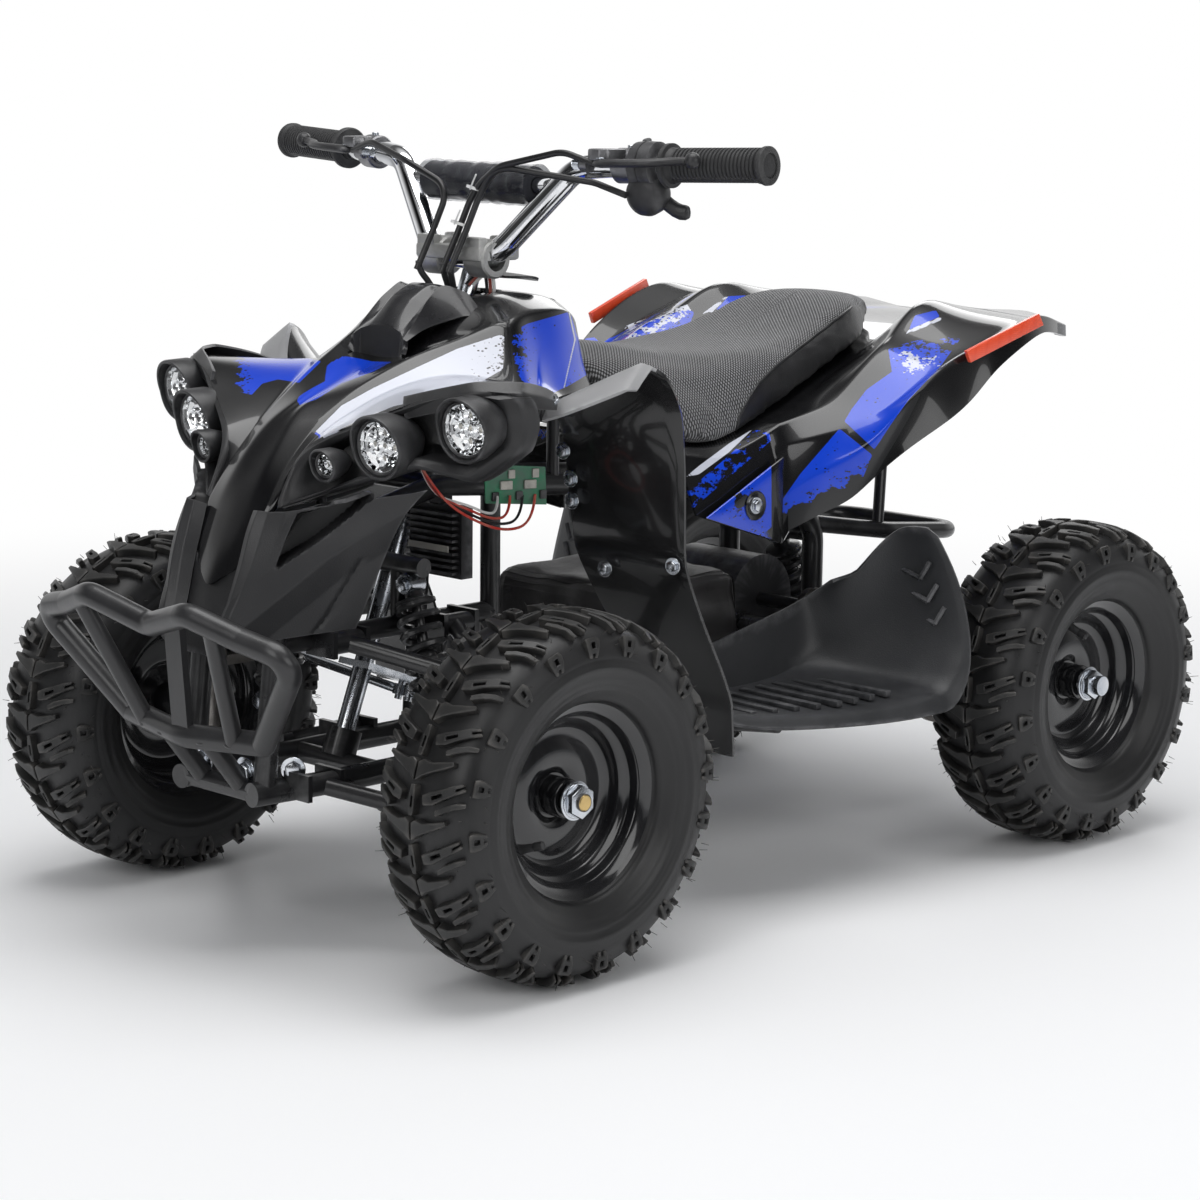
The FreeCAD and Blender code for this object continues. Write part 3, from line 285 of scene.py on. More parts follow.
def make_edge_group():
    """Rubbed edges: where the surface bulges, broken up by noise."""
    group, start, end = open_group(
        "rubbed_edge", [("Reach", FLOAT, 0.54)], [("Mask", FLOAT)])
    bulge = group.nodes.new("ShaderNodeNewGeometry").outputs["Pointiness"]
    above = add_math(group, "SUBTRACT", bulge, start.outputs["Reach"])
    sharp = add_math(group, "MULTIPLY", above, 14.0, clamp=True)
    broken = add_noise(group, add_place(group), 60, 4, 0.6)
    worn = add_math(group, "MULTIPLY", sharp, add_range(group, broken, 0.35, 0.65))
    group.links.new(worn, end.inputs["Mask"])
    return group


def make_dust_group():
    """Thin dust that lies on what faces up, in specks and clouds."""
    group, start, end = open_group(
        "settled_dust", [("Amount", FLOAT, 0.2)], [("Mask", FLOAT)])
    normal = group.nodes.new("ShaderNodeNewGeometry").outputs["Normal"]
    split = group.nodes.new("ShaderNodeSeparateXYZ")
    group.links.new(normal, split.inputs[0])
    upward = add_range(group, split.outputs["Z"], -0.2, 1.0)
    place = add_place(group)
    clouds = add_range(group, add_noise(group, place, 14, 5, 0.6), 0.42, 0.75)
    specks = add_range(group, add_noise(group, place, 420, 2, 0.5), 0.66, 0.74)
    both = add_math(group, "ADD", clouds, specks, clamp=True)
    dusty = add_math(group, "MULTIPLY", both, upward)
    group.links.new(add_math(group, "MULTIPLY", dusty, start.outputs["Amount"]), end.inputs["Mask"])
    return group


def make_spatter_group():
    """Field with a clean border, broken by flung spatter where its density rises.

    Inside is the distance in from the border in millimetres, Density how much of
    the field the spatter eats away.
    """
    group, start, end = open_group(
        "spattered_field", [("Inside", FLOAT, 0), ("Density", FLOAT, 0), ("Scale", FLOAT, 55)],
        [("Mask", FLOAT)])
    place = add_place(group)
    stretch = group.nodes.new("ShaderNodeMapping")
    stretch.inputs["Scale"].default_value = (1.0, 1.0, 1.6)
    stretch.inputs["Rotation"].default_value = (0.2, 0.5, 0.1)
    group.links.new(place, stretch.inputs["Vector"])
    clouds = add_noise(group, stretch.outputs[0], start.outputs["Scale"], 6, 0.68)
    drops = group.nodes.new("ShaderNodeTexVoronoi")
    drops.inputs["Scale"].default_value = 190
    group.links.new(stretch.outputs[0], drops.inputs["Vector"])
    round_drop = add_range(group, drops.outputs["Distance"], 0.22, 0.28, 0.2, 0.0)
    level = add_math(group, "ADD", clouds, round_drop)
    limit = add_math(group, "MULTIPLY_ADD", start.outputs["Density"], -0.62, 0.86)
    kept = add_math(group, "SUBTRACT", limit, level)
    kept = add_math(group, "MULTIPLY", kept, 60.0, clamp=True)
    border = add_math(group, "MULTIPLY_ADD", start.outputs["Inside"], 4.0, 0.0, clamp=True)
    group.links.new(add_math(group, "MULTIPLY", kept, border), end.inputs["Mask"])
    return group


GRAIN = make_grain_group()
RUBBED = make_edge_group()
DUST = make_dust_group()
SPATTER = make_spatter_group()


# Materials

def start_material(name):
    material = bpy.data.materials.new(name)
    material.use_nodes = True
    return material, material.node_tree, material.node_tree.nodes["Principled BSDF"]


def use_group(tree, group, **values):
    node = tree.nodes.new("ShaderNodeGroup")
    node.node_tree = group
    for label, value in values.items():
        if isinstance(value, (int, float)):
            node.inputs[label].default_value = value
        else:
            tree.links.new(value, node.inputs[label])
    return node


def add_bump(tree, shader, height, strength, distance=0.001):
    bump = tree.nodes.new("ShaderNodeBump")
    bump.inputs["Strength"].default_value = strength
    bump.inputs["Distance"].default_value = distance
    tree.links.new(height, bump.inputs["Height"])
    tree.links.new(bump.outputs[0], shader.inputs["Normal"])


def read_attribute(tree, name):
    node = tree.nodes.new("ShaderNodeAttribute")
    node.attribute_name = name
    return node.outputs["Fac"]


def lay_over(tree, group, colour, shade, **values):
    """The colour with a shade over it where the group's mask says."""
    return add_mix(tree, use_group(tree, group, **values).outputs["Mask"], colour, shade)


def set_skin(tree, shader, colour, cloud, low, high):
    """Base colour, and a roughness that wanders with the cloud."""
    tree.links.new(colour, shader.inputs["Base Color"])
    tree.links.new(add_range(tree, cloud, 0.3, 0.7, low, high), shader.inputs["Roughness"])


def make_moulded(name, dark, pale, rough, grain=900, bump=0.35, dust=0.12, edge=(0.11, 0.11, 0.115)):
    """Grained plastic, paler where it is rubbed and a little dusty on top."""
    material, tree, shader = start_material(name)
    skin = use_group(tree, GRAIN, Scale=grain)
    shade = skin.outputs["Shade"]
    colour = add_mix(tree, shade, dark, pale)
    colour = lay_over(tree, RUBBED, colour, edge, Reach=0.53)
    colour = lay_over(tree, DUST, colour, (0.32, 0.32, 0.33), Amount=dust)
    set_skin(tree, shader, colour, shade, rough - 0.06, rough + 0.08)
    add_bump(tree, shader, skin.outputs["Height"], bump, 0.0006)
    return material


def make_painted(name, colour, rough, coat=0.0, peel=220, bump=0.08, level=0.5):
    """Paint or powder coat with orange peel, rubbed thin at the edges."""
    material, tree, shader = start_material(name)
    place = add_place(tree)
    cloud = add_noise(tree, place, 22, 4, 0.6)
    base = add_mix(tree, cloud, colour, tuple(min(1, c * 1.5 + 0.004) for c in colour))
    base = lay_over(tree, RUBBED, base, tuple(c * 0.6 + 0.06 for c in colour), Reach=0.55)
    base = lay_over(tree, DUST, base, (0.35, 0.35, 0.36), Amount=0.08)
    set_skin(tree, shader, base, cloud, rough - 0.05, rough + 0.07)
    shader.inputs["Coat Weight"].default_value = coat
    shader.inputs["Coat Roughness"].default_value = 0.06
    shader.inputs["Specular IOR Level"].default_value = level
    add_bump(tree, shader, add_noise(tree, place, peel, 2, 0.5), bump, 0.0006)
    return material


def make_metal(name, colour, rough, spread=0.12, scratch=0.0, stain=None):
    """Bare or plated metal with smears in its gloss."""
    material, tree, shader = start_material(name)
    place = add_place(tree)
    smear = add_noise(tree, place, 45, 5, 0.65)
    second = stain or tuple(c * 0.82 for c in colour)
    base = add_mix(tree, add_range(tree, smear, 0.35, 0.7), colour, second)
    set_skin(tree, shader, base, smear, max(0.02, rough - spread), rough + spread)
    shader.inputs["Metallic"].default_value = 1
    if scratch:
        add_bump(tree, shader, add_noise(tree, place, 700, 3, 0.6), scratch, 0.0005)
    return material


def make_shell():
    """Gloss black body plastic with its blue fields, pale spatter and borders."""
    material, tree, shader = start_material("shell_gloss")
    place = add_place(tree)
    cloud = add_noise(tree, place, 12, 3, 0.5)
    colour = add_mix(tree, cloud, (0.004, 0.004, 0.0045), (0.009, 0.009, 0.010))
    ink = add_mix(tree, cloud, (0.002, 0.043, 0.54), (0.004, 0.062, 0.70))
    for name, shade, scale in (("blue", ink, 60), ("pale", (0.58, 0.60, 0.68), 75)):
        colour = lay_over(tree, SPATTER, colour, shade, Inside=read_attribute(tree, name),
                          Density=read_attribute(tree, name + "_spatter"), Scale=scale)
    colour = lay_over(tree, DUST, colour, (0.5, 0.5, 0.52), Amount=0.02)
    set_skin(tree, shader, colour, cloud, 0.16, 0.26)
    shader.inputs["Specular IOR Level"].default_value = 0.35
    shader.inputs["Coat Weight"].default_value = 0.75
    shader.inputs["Coat Roughness"].default_value = 0.035
    add_bump(tree, shader, add_noise(tree, place, 36, 2, 0.4), 0.05, 0.001)
    return material


def make_rubber(name, colour, rough, dusty_amount=0.25, fine=700, bump=0.25, pale=(0.1, 0.098, 0.095)):
    """Mottled rubber or soft plastic, dusty on top and pale where it is rubbed."""
    material, tree, shader = start_material(name)
    place = add_place(tree)
    cloud = add_noise(tree, place, 16, 5, 0.6)
    base = add_mix(tree, cloud, colour, tuple(c * 1.7 for c in colour))
    base = lay_over(tree, DUST, base, pale, Amount=dusty_amount)
    base = lay_over(tree, RUBBED, base, pale, Reach=0.535)
    set_skin(tree, shader, base, cloud, rough - 0.08, rough + 0.08)
    add_bump(tree, shader, add_noise(tree, place, fine, 3, 0.6), bump, 0.0005)
    return material


KNIT_WIDTH = 0.0034
KNIT_RISE = 0.0023


def make_knit():
    """Grey dimpled knit of the seat's top, on the cover's own flat pattern."""
    material, tree, shader = start_material("seat_knit")
    flat = tree.nodes.new("ShaderNodeUVMap")
    flat.uv_map = "cover"
    split = tree.nodes.new("ShaderNodeSeparateXYZ")
    tree.links.new(flat.outputs[0], split.inputs[0])
    row = add_math(tree, "FLOOR", add_math(tree, "MULTIPLY", split.outputs["Y"], 1 / KNIT_RISE))
    shift = add_math(tree, "MULTIPLY", add_math(tree, "MODULO", row, 2.0), math.pi)
    turn = add_math(tree, "MULTIPLY", split.outputs["X"], 2 * math.pi / KNIT_WIDTH)
    along = add_math(tree, "SINE", add_math(tree, "ADD", turn, shift))
    across = add_math(tree, "SINE", add_math(tree, "MULTIPLY", split.outputs["Y"], math.pi / KNIT_RISE))
    dimple = add_math(tree, "MULTIPLY", along, add_math(tree, "ABSOLUTE", across))
    mask = add_range(tree, dimple, -0.15, 0.55, smooth=True)
    cloud = add_noise(tree, add_place(tree), 30, 4, 0.6)
    thread = add_mix(tree, cloud, (0.20, 0.20, 0.205), (0.30, 0.30, 0.31))
    tree.links.new(add_mix(tree, mask, (0.022, 0.022, 0.023), thread), shader.inputs["Base Color"])
    tree.links.new(add_range(tree, mask, 0, 1, 0.85, 0.55), shader.inputs["Roughness"])
    shader.inputs["Sheen Weight"].default_value = 0.25
    shader.inputs["Sheen Roughness"].default_value = 0.4
    add_bump(tree, shader, mask, 0.7, 0.0008)
    return material


def make_vinyl(name, colour, rough, wrinkle=0.15):
    """Coated cloth with leather grain and faint creases."""
    material, tree, shader = start_material(name)
    place = add_place(tree)
    cells = tree.nodes.new("ShaderNodeTexVoronoi")
    cells.feature = "DISTANCE_TO_EDGE"
    cells.inputs["Scale"].default_value = 480
    tree.links.new(place, cells.inputs["Vector"])
    pore = add_range(tree, cells.outputs["Distance"], 0.0, 0.12)
    cloud = add_noise(tree, place, 18, 4, 0.6)
    base = add_mix(tree, cloud, colour, tuple(c * 1.6 for c in colour))
    base = lay_over(tree, DUST, base, (0.25, 0.25, 0.26), Amount=0.12)
    set_skin(tree, shader, base, cloud, rough - 0.07, rough + 0.07)
    folds = add_noise(tree, place, 26, 3, 0.55)
    height = add_math(tree, "MULTIPLY_ADD", pore, 0.25, add_math(tree, "MULTIPLY", folds, wrinkle * 8))
    add_bump(tree, shader, height, 0.35, 0.0008)
    return material


def make_clear(name, tint=(1, 1, 1), rough=0.02):
    material, tree, shader = start_material(name)
    cloud = add_noise(tree, add_place(tree), 30, 3, 0.5)
    base = add_mix(tree, cloud, tint, tuple(c * 0.97 for c in tint))
    set_skin(tree, shader, base, cloud, rough, rough + 0.03)
    shader.inputs["Transmission Weight"].default_value = 1
    shader.inputs["IOR"].default_value = 1.2
    return material


def make_reflector():
    """Red-orange moulded prisms under a gloss face."""
    material, tree, shader = start_material("reflector_red")
    place = add_place(tree)
    cells = tree.nodes.new("ShaderNodeTexVoronoi")
    cells.distance = "CHEBYCHEV"
    cells.inputs["Randomness"].default_value = 0
    cells.inputs["Scale"].default_value = 520
    tree.links.new(place, cells.inputs["Vector"])
    tree.links.new(add_mix(tree, cells.outputs["Distance"], (0.95, 0.11, 0.035), (0.62, 0.035, 0.015)),
                   shader.inputs["Base Color"])
    shader.inputs["Roughness"].default_value = 0.3
    shader.inputs["Coat Weight"].default_value = 0.8
    add_bump(tree, shader, cells.outputs["Distance"], 0.4, 0.0008)
    return material


SHELL = make_shell()
SHROUD = make_moulded("shroud_plastic", (0.017, 0.017, 0.018), (0.027, 0.027, 0.029), 0.4, 800, dust=0.08)
MATTE = make_moulded("matte_plastic", (0.012, 0.012, 0.013), (0.021, 0.021, 0.0225), 0.38, dust=0.1)
FOOT = make_moulded("footrest_plastic", (0.017, 0.018, 0.0195), (0.028, 0.029, 0.032), 0.42, 760, 0.4, 0.1)
# Pale grey for the mudguard's top band: a painted highlight for the light the band catches, with dust and rubbed
# edges laid over it
GUARD_HIGHLIGHT = make_moulded("guard_painted_highlight", (0.24, 0.24, 0.245), (0.32, 0.32, 0.325), 0.34, 500, 0.3, 0.3,
                         (0.42, 0.42, 0.43))
GUARD = make_painted("guard_plastic", (0.007, 0.007, 0.0075), 0.2, 0.5, 60, 0.05, 0.35)
TYRE = make_rubber("tyre_rubber", (0.0085, 0.0085, 0.009), 0.44, 0.16, 520, 0.2, (0.06, 0.058, 0.056))
LUG = make_rubber("tyre_tread", (0.0095, 0.0095, 0.0095), 0.46, 0.22, 620, 0.25, (0.085, 0.08, 0.074))
RIM = make_painted("rim_gloss", (0.006, 0.006, 0.007), 0.16, 0.8, 90, 0.04, 0.4)
FRAME = make_painted("frame_paint", (0.011, 0.011, 0.012), 0.3, 0.25, 190, 0.12)
BUMPER = make_painted("bumper_paint", (0.016, 0.016, 0.017), 0.33, 0.15, 210, 0.12)
CHROME = make_metal("chrome_plate", (0.88, 0.89, 0.91), 0.05, 0.03)
ZINC = make_metal("zinc_plate", (0.72, 0.74, 0.77), 0.22, 0.1, 0.15, (0.52, 0.56, 0.62))
CAST = make_metal("cast_aluminium", (0.55, 0.55, 0.54), 0.5, 0.08, 0.8, (0.42, 0.42, 0.41))
PERCH = make_metal("perch_alloy", (0.30, 0.30, 0.31), 0.42, 0.08, 0.3, (0.2, 0.2, 0.21))
STEEL = make_metal("dark_steel", (0.20, 0.19, 0.18), 0.38, 0.12, 0.3, (0.12, 0.11, 0.10))
BRASS = make_metal("brass_tip", (0.76, 0.55, 0.24), 0.28, 0.1, 0.2)
KNIT = make_knit()
VINYL = make_vinyl("seat_vinyl", (0.010, 0.010, 0.011), 0.36)
COVER = make_vinyl("battery_cover", (0.013, 0.012, 0.0125), 0.42, 0.5)
FOAM = make_rubber("bar_foam", (0.007, 0.008, 0.012), 0.9, 0.1, 1500, 0.6, (0.03, 0.03, 0.035))
GRIP = make_rubber("grip_rubber", (0.017, 0.017, 0.018), 0.55, 0.2, 900, 0.2, (0.07, 0.07, 0.07))
SWITCH = make_moulded("control_plastic", (0.012, 0.012, 0.013), (0.02, 0.02, 0.022), 0.36, 1100, 0.2, 0.1)
CABLE = make_rubber("cable_sheath", (0.010, 0.010, 0.011), 0.35, 0.1, 300, 0.1, (0.05, 0.05, 0.05))
TIE = make_moulded("cable_tie", (0.62, 0.62, 0.60), (0.70, 0.70, 0.68), 0.4, 500, 0.1, 0.0, (0.8, 0.8, 0.8))
CLEAR = make_clear("lamp_glass")
WRAP = make_clear("pad_wrap", (0.96, 0.96, 0.97), 0.05)
MIRROR = make_metal("lamp_reflector", (0.93, 0.94, 0.95), 0.07, 0.04)
RED = make_reflector()
BOARD = make_moulded("circuit_board", (0.01, 0.16, 0.07), (0.02, 0.24, 0.11), 0.4, 300, 0.3, 0.05)
LABEL = make_moulded("pale_part", (0.52, 0.50, 0.44), (0.62, 0.60, 0.54), 0.5, 400, 0.1, 0.0)
RED_WIRE = make_rubber("red_wire", (0.42, 0.02, 0.012), 0.4, 0.05, 300, 0.05, (0.5, 0.2, 0.15))
WHITE_WIRE = make_rubber("white_wire", (0.6, 0.6, 0.58), 0.4, 0.05, 300, 0.05, (0.7, 0.7, 0.7))
HUMP_GLOSS = make_painted("hump_gloss", (0.013, 0.013, 0.0145), 0.2, 0.5, 80, 0.06, 0.4)
HUMP_FRONT = make_moulded("hump_front", (0.005, 0.005, 0.0055), (0.008, 0.008, 0.009), 0.42)
# Near-black: the lamp bowls' own black, and painted shade in the gap beside the nose tongue
BOWL_AND_GAP_SHADE = make_moulded("lamp_bowl", (0.006, 0.006, 0.0065), (0.010, 0.010, 0.011), 0.36, 1000, 0.15, 0.03)
THREAD = make_rubber("seat_thread", (0.045, 0.045, 0.047), 0.75, 0.1, 1400, 0.2, (0.1, 0.1, 0.1))


# Modelling helpers

def clear_selection():
    if bpy.context.mode != "OBJECT":
        bpy.ops.object.mode_set(mode="OBJECT")
    bpy.ops.object.select_all(action="DESELECT")


def take(piece):
    clear_selection()
    piece.select_set(True)
    bpy.context.view_layer.objects.active = piece


def mesh_piece(name, spots, faces, edges=()):
    mesh = bpy.data.meshes.new(name)
    mesh.from_pydata([tuple(p) for p in spots], list(edges), list(faces))
    mesh.update()
    piece = bpy.data.objects.new(name, mesh)
    bpy.context.scene.collection.objects.link(piece)
    return piece


def modify(piece, kind, **settings):
    take(piece)
    modifier = piece.modifiers.new(kind.lower(), kind)
    for key, value in settings.items():
        setattr(modifier, key, value)
    bpy.ops.object.modifier_apply(modifier=modifier.name)


def subdivide(piece, levels=2):
    modify(piece, "SUBSURF", levels=levels, render_levels=levels)


def smooth(piece, degrees=35):
    take(piece)
    bpy.ops.object.shade_smooth_by_angle(angle=math.radians(degrees))


def edit_all(piece, action, **settings):
    """Run one operator on the whole of a mesh."""
    take(piece)
    bpy.ops.object.mode_set(mode="EDIT")
    bpy.ops.mesh.select_all(action="SELECT")
    action(**settings)
    bpy.ops.object.mode_set(mode="OBJECT")


def outward(piece):
    """Merge doubled points and turn the faces outward."""
    edit_all(piece, bpy.ops.mesh.remove_doubles, threshold=0.00002)
    edit_all(piece, bpy.ops.mesh.normals_make_consistent, inside=False)


def face_towards(piece, way):
    """Turn an open shell's faces so that most of them look one way."""
    if sum(p.normal.dot(Vector(way)) * p.area for p in piece.data.polygons) < 0:
        piece.data.flip_normals()


def join(pieces, name):
    take(pieces[0])
    for piece in pieces[1:]:
        piece.select_set(True)
    if len(pieces) > 1:
        bpy.ops.object.join()
    pieces[0].name = name
    pieces[0].data.name = name
    return pieces[0]


def paint(piece, *materials):
    piece.data.materials.clear()
    for material in materials:
        piece.data.materials.append(material)


def coated(piece, degrees, *materials):
    """The piece with smooth shading below an angle, and its materials where given."""
    smooth(piece, degrees)
    if materials:
        paint(piece, *materials)
    return piece


def faceted(piece, material):
    take(piece)
    bpy.ops.object.shade_flat()
    paint(piece, material)
    return piece


def thicken(piece, thickness, degrees):
    """Give a shell its thickness towards the back, and smooth shading."""
    modify(piece, "SOLIDIFY", thickness=thickness, offset=-1)
    smooth(piece, degrees)


def dress(piece, body, slot, *nodes, materials=()):
    if materials:
        paint(piece, *materials)
    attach(piece, body)
    if nodes:
        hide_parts(*nodes)
    return piece


def copied(piece, name, matrix):
    """Copy with its own mesh, moved or mirrored in the mesh itself."""
    copy = piece.copy()
    copy.data = piece.data.copy()
    copy.name = name
    copy.data.name = name
    bpy.context.scene.collection.objects.link(copy)
    return moved(copy, matrix)


def moved(piece, matrix):
    """Move or mirror the mesh itself."""
    piece.data.transform(matrix)
    if matrix.determinant() < 0:
        piece.data.flip_normals()
    return piece


def dress_pair(left, body, slot, *nodes):
    """Dress a left piece and its mirrored copy.

    The left one replaces the nodes. The copy replaces only the right twins of
    nodes that are named as left ones.
    """
    name = left.name.replace("left", "right") if "left" in left.name else left.name + "_right"
    right = copied(left, name, OTHER_SIDE)
    dress(left, body, slot, *nodes)
    dress(right, body, slot, *[node.replace("left", "right") for node in nodes if "left" in node])


OTHER_SIDE = Matrix.Scale(-1, 4, (0, 1, 0))


def grid(name, rows, closed=False):
    """Net of four-sided faces through rows of points."""
    width = len(rows[0])
    faces = []
    for i in range(len(rows) - 1):
        for j in range(width if closed else width - 1):
            k = (j + 1) % width
            faces.append((i * width + j, i * width + k, (i + 1) * width + k, (i + 1) * width + j))
    return mesh_piece(name, [p for row in rows for p in row], faces)


def crease(piece, width, columns=(), rows=()):
    """Sharpen whole lines of a net before it is smoothed: each line's number and sharpness."""
    columns, rows = dict(columns), dict(rows)
    sharp = piece.data.attributes.new("crease_edge", "FLOAT", "EDGE")
    for edge in piece.data.edges:
        a, b = sorted(edge.vertices)
        if b - a == width and a % width in columns:
            sharp.data[edge.index].value = columns[a % width]
        if b - a == 1 and a // width in rows:
            sharp.data[edge.index].value = rows[a // width]


def lathe(name, profile, centre, axis=(0, 1, 0), steps=64, closed=True):
    """Spin (along, radius) corners in metres about an axis through a point."""
    axis = Vector(axis).normalized()
    side = axis.orthogonal().normalized()
    spots = [Vector(centre) + axis * along + side * radius for along, radius in profile]
    count = len(spots)
    edges = [(k, (k + 1) % count) for k in range(count if closed else count - 1)]
    piece = mesh_piece(name, spots, [], edges)
    edit_all(piece, bpy.ops.mesh.spin, steps=steps, angle=2 * math.pi, center=centre, axis=axis)
    outward(piece)
    return piece


def millimetres(profile):
    return [(a / 1000, r / 1000) for a, r in profile]


def turned(name, profile, centre, axis, steps, degrees, *materials, closed=True):
    """Piece turned from (along, radius) corners in millimetres, smooth and painted."""
    return coated(lathe(name, millimetres(profile), centre, axis, steps, closed), degrees, *materials)


def start_shell(name, table, columns, rows, levels, way=(0, 0, 1), mirrored=False):
    """Smooth open shell from a table of points, with creased lines and its faces turned one way."""
    piece = grid(name, [points(row) for row in table])
    crease(piece, len(table[0]), columns, rows)
    if mirrored:
        modify(piece, "MIRROR", use_axis=(False, True, False), use_clip=True, merge_threshold=0.0005)
    outward(piece)
    face_towards(piece, way)
    subdivide(piece, levels)
    return piece


def cap_ends(piece, width):
    """Close both ends of a net whose rows are closed loops."""
    net = bmesh.new()
    net.from_mesh(piece.data)
    net.verts.ensure_lookup_table()
    for first in (0, len(net.verts) - width):
        net.faces.new([net.verts[first + k] for k in range(width)])
    net.to_mesh(piece.data)
    net.free()


def sweep(name, route, radius, sides=12, smooth_route=True):
    """Round bar along points, its line smooth through them or straight between them."""
    curve = bpy.data.curves.new(name, "CURVE")
    curve.dimensions = "3D"
    curve.bevel_depth = radius
    curve.bevel_resolution = max(1, sides // 4 - 1)
    curve.use_fill_caps = True
    line = curve.splines.new("NURBS" if smooth_route else "POLY")
    line.points.add(len(route) - 1)
    for spot, place in zip(line.points, route):
        spot.co = (*place, 1)
    if smooth_route:
        line.order_u = 3
        line.use_endpoint_u = True
        line.resolution_u = 8
    piece = bpy.data.objects.new(name, curve)
    bpy.context.scene.collection.objects.link(piece)
    take(piece)
    bpy.ops.object.convert(target="MESH")
    piece = bpy.context.object
    piece.name = name
    smooth(piece, 50)
    return piece


THIRDS = (0, 2.094, 4.189)


def bristles(name, runs, radius):
    """Thin three-sided bars, one for each pair of ends, as one mesh."""
    spots, faces = [], []
    for start, end in runs:
        way = (end - start).normalized()
        side = way.orthogonal().normalized()
        other = way.cross(side)
        base = len(spots)
        for spot, thick in ((start, radius), (end, radius * 0.6)):
            spots += [spot + (side * math.cos(t) + other * math.sin(t)) * thick for t in THIRDS]
        faces += [(base, base + 1, base + 4, base + 3), (base + 1, base + 2, base + 5, base + 4),
                  (base + 2, base, base + 3, base + 5), (base + 5, base + 4, base + 3),
                  (base, base + 2, base + 1)]
    piece = mesh_piece(name, spots, faces)
    outward(piece)
    return piece


def hex_head(name, place, way, radius, high, washer=1.5):
    """Bolt head with its six flats, chamfered top and washer."""
    way = Vector(way).normalized()
    turn = way.to_track_quat("Z", "Y").to_euler()
    parts = []
    for corners, wide, depth, rise, offset, segments in (
            (6, radius, high, high / 2 + 0.0008, high * 0.16, 2),
            (24, radius * washer, 0.0016, 0.0006, 0.0003, 1)):
        clear_selection()
        bpy.ops.mesh.primitive_cylinder_add(
            vertices=corners, radius=wide, depth=depth, location=Vector(place) + way * rise, rotation=turn)
        part = bpy.context.object
        bpy.ops.object.transform_apply(location=True, rotation=True, scale=True)
        edit_all(part, bpy.ops.mesh.bevel, offset=offset, segments=segments)
        parts.append(part)
    return coated(join(parts, name), 30, ZINC)


def socket_screw(name, place, way, radius, high):
    """Cylindrical screw head with a round recess."""
    r, h = radius, high
    profile = [(0, r), (h * 0.85, r), (h, r * 0.9), (h, r * 0.55), (h * 0.4, r * 0.5), (h * 0.4, 0), (0, 0)]
    return coated(lathe(name, profile, place, way, 18, closed=False), 30, ZINC)


def resample(line, count):
    """Points at even steps along a line of straight runs."""
    runs = [(b - a).length for a, b in zip(line, line[1:])]
    result = []
    for k in range(count):
        goal = sum(runs) * k / (count - 1)
        i = 0
        while i < len(runs) - 1 and goal > runs[i]:
            goal -= runs[i]
            i += 1
        result.append(line[i].lerp(line[i + 1], min(1, goal / runs[i])))
    return result


# Wheels

CARCASS = [(0, 157.5), (14, 157.2), (28, 156), (40, 152.5), (47, 148), (53, 141), (56.4, 132.5),
           (57.6, 128), (57.4, 126.5), (58.2, 125.5), (57.9, 122), (58.4, 121), (58.2, 117),
           (57.2, 116), (56.8, 111), (55.6, 105), (54.6, 104.2), (54.2, 101.5), (52.6, 99.5),
           (50, 95), (46.5, 91.6), (45.8, 89.8), (41.5, 88.2), (38.6, 87.2)]
TYRE_RADIUS = 165
PITCHES = 20
PITCH = 2 * math.pi * TYRE_RADIUS / PITCHES
# Blocks stand full height on the tread, sink over the shoulder and fade down the side
LUG_HIGH, LUG_LOW = 7.5, 1.2
SHOULDER, SIDE = 40, 58
LUG_TAPER = 0.07
LUG_ROOT = -1.2
HAIRS = 210
HAIR_LIMIT = 164.6
# Tread blocks: left and right edges as (round the tyre, outward) millimetres, and open cells
BLOCKS = [
    ([(-7, 1), (-2, 8), (2, 16), (6, 26), (12, 37)], [(10, 1), (13, 6), (11, 14), (13, 24), (16, 36)], ()),
    ([(-26, 14), (-24, 24), (-18, 33), (-12, 42), (-7, 49)],
     [(-17, 12), (-13, 20), (-9, 30), (-4, 40), (-1, 47)], ((1, 1), (3, 1))),
    ([(-33, 28), (-29, 35), (-25, 42), (-22, 50)], [(-28, 27), (-23, 34), (-19, 43), (-18, 50)], ()),
    ([(-12, 54), (-12.5, 58), (-12, 62), (-10.5, 66), (-9, 70)],
     [(5, 54), (6.5, 58), (6, 62), (4.5, 66), (3, 70)], ((1, 1), (3, 1))),
]
RIB = ([(15, -2), (22, -3.5), (32, -3.5), (42, -2)], [(15, 2), (22, 3.5), (32, 3.5), (42, 2)], ((1, 1),))


def carcass_at(reach):
    """Half width, radius and outward lean where the casing's surface is this far out."""
    left = abs(reach)
    for (y0, r0), (y1, r1) in zip(CARCASS, CARCASS[1:]):
        run = math.hypot(y1 - y0, r1 - r0)
        if left <= run or (y1, r1) == CARCASS[-1]:
            share = left / run
            lean = math.atan2(y1 - y0, r0 - r1)
            return y0 + share * (y1 - y0), r0 + share * (r1 - r0), math.pi / 2 - lean
        left -= run


def block_height(reach):
    reach = abs(reach)
    if reach < SHOULDER:
        return LUG_HIGH
    if reach < SIDE:
        return LUG_HIGH - (reach - SHOULDER) * 0.08
    return max(LUG_LOW, 6 - (reach - SIDE) * 0.38)


def on_tyre(s, t, rise, side):
    """Point s round the tyre and t outward from its middle line, raised from the casing."""
    y, radius, lean = carcass_at(t)
    sign = (1 if t >= 0 else -1) * side
    radius += rise * math.cos(lean)
    y += rise * math.sin(lean)
    turn = s / TYRE_RADIUS
    return Vector((radius * math.cos(turn), sign * y, radius * math.sin(turn)))


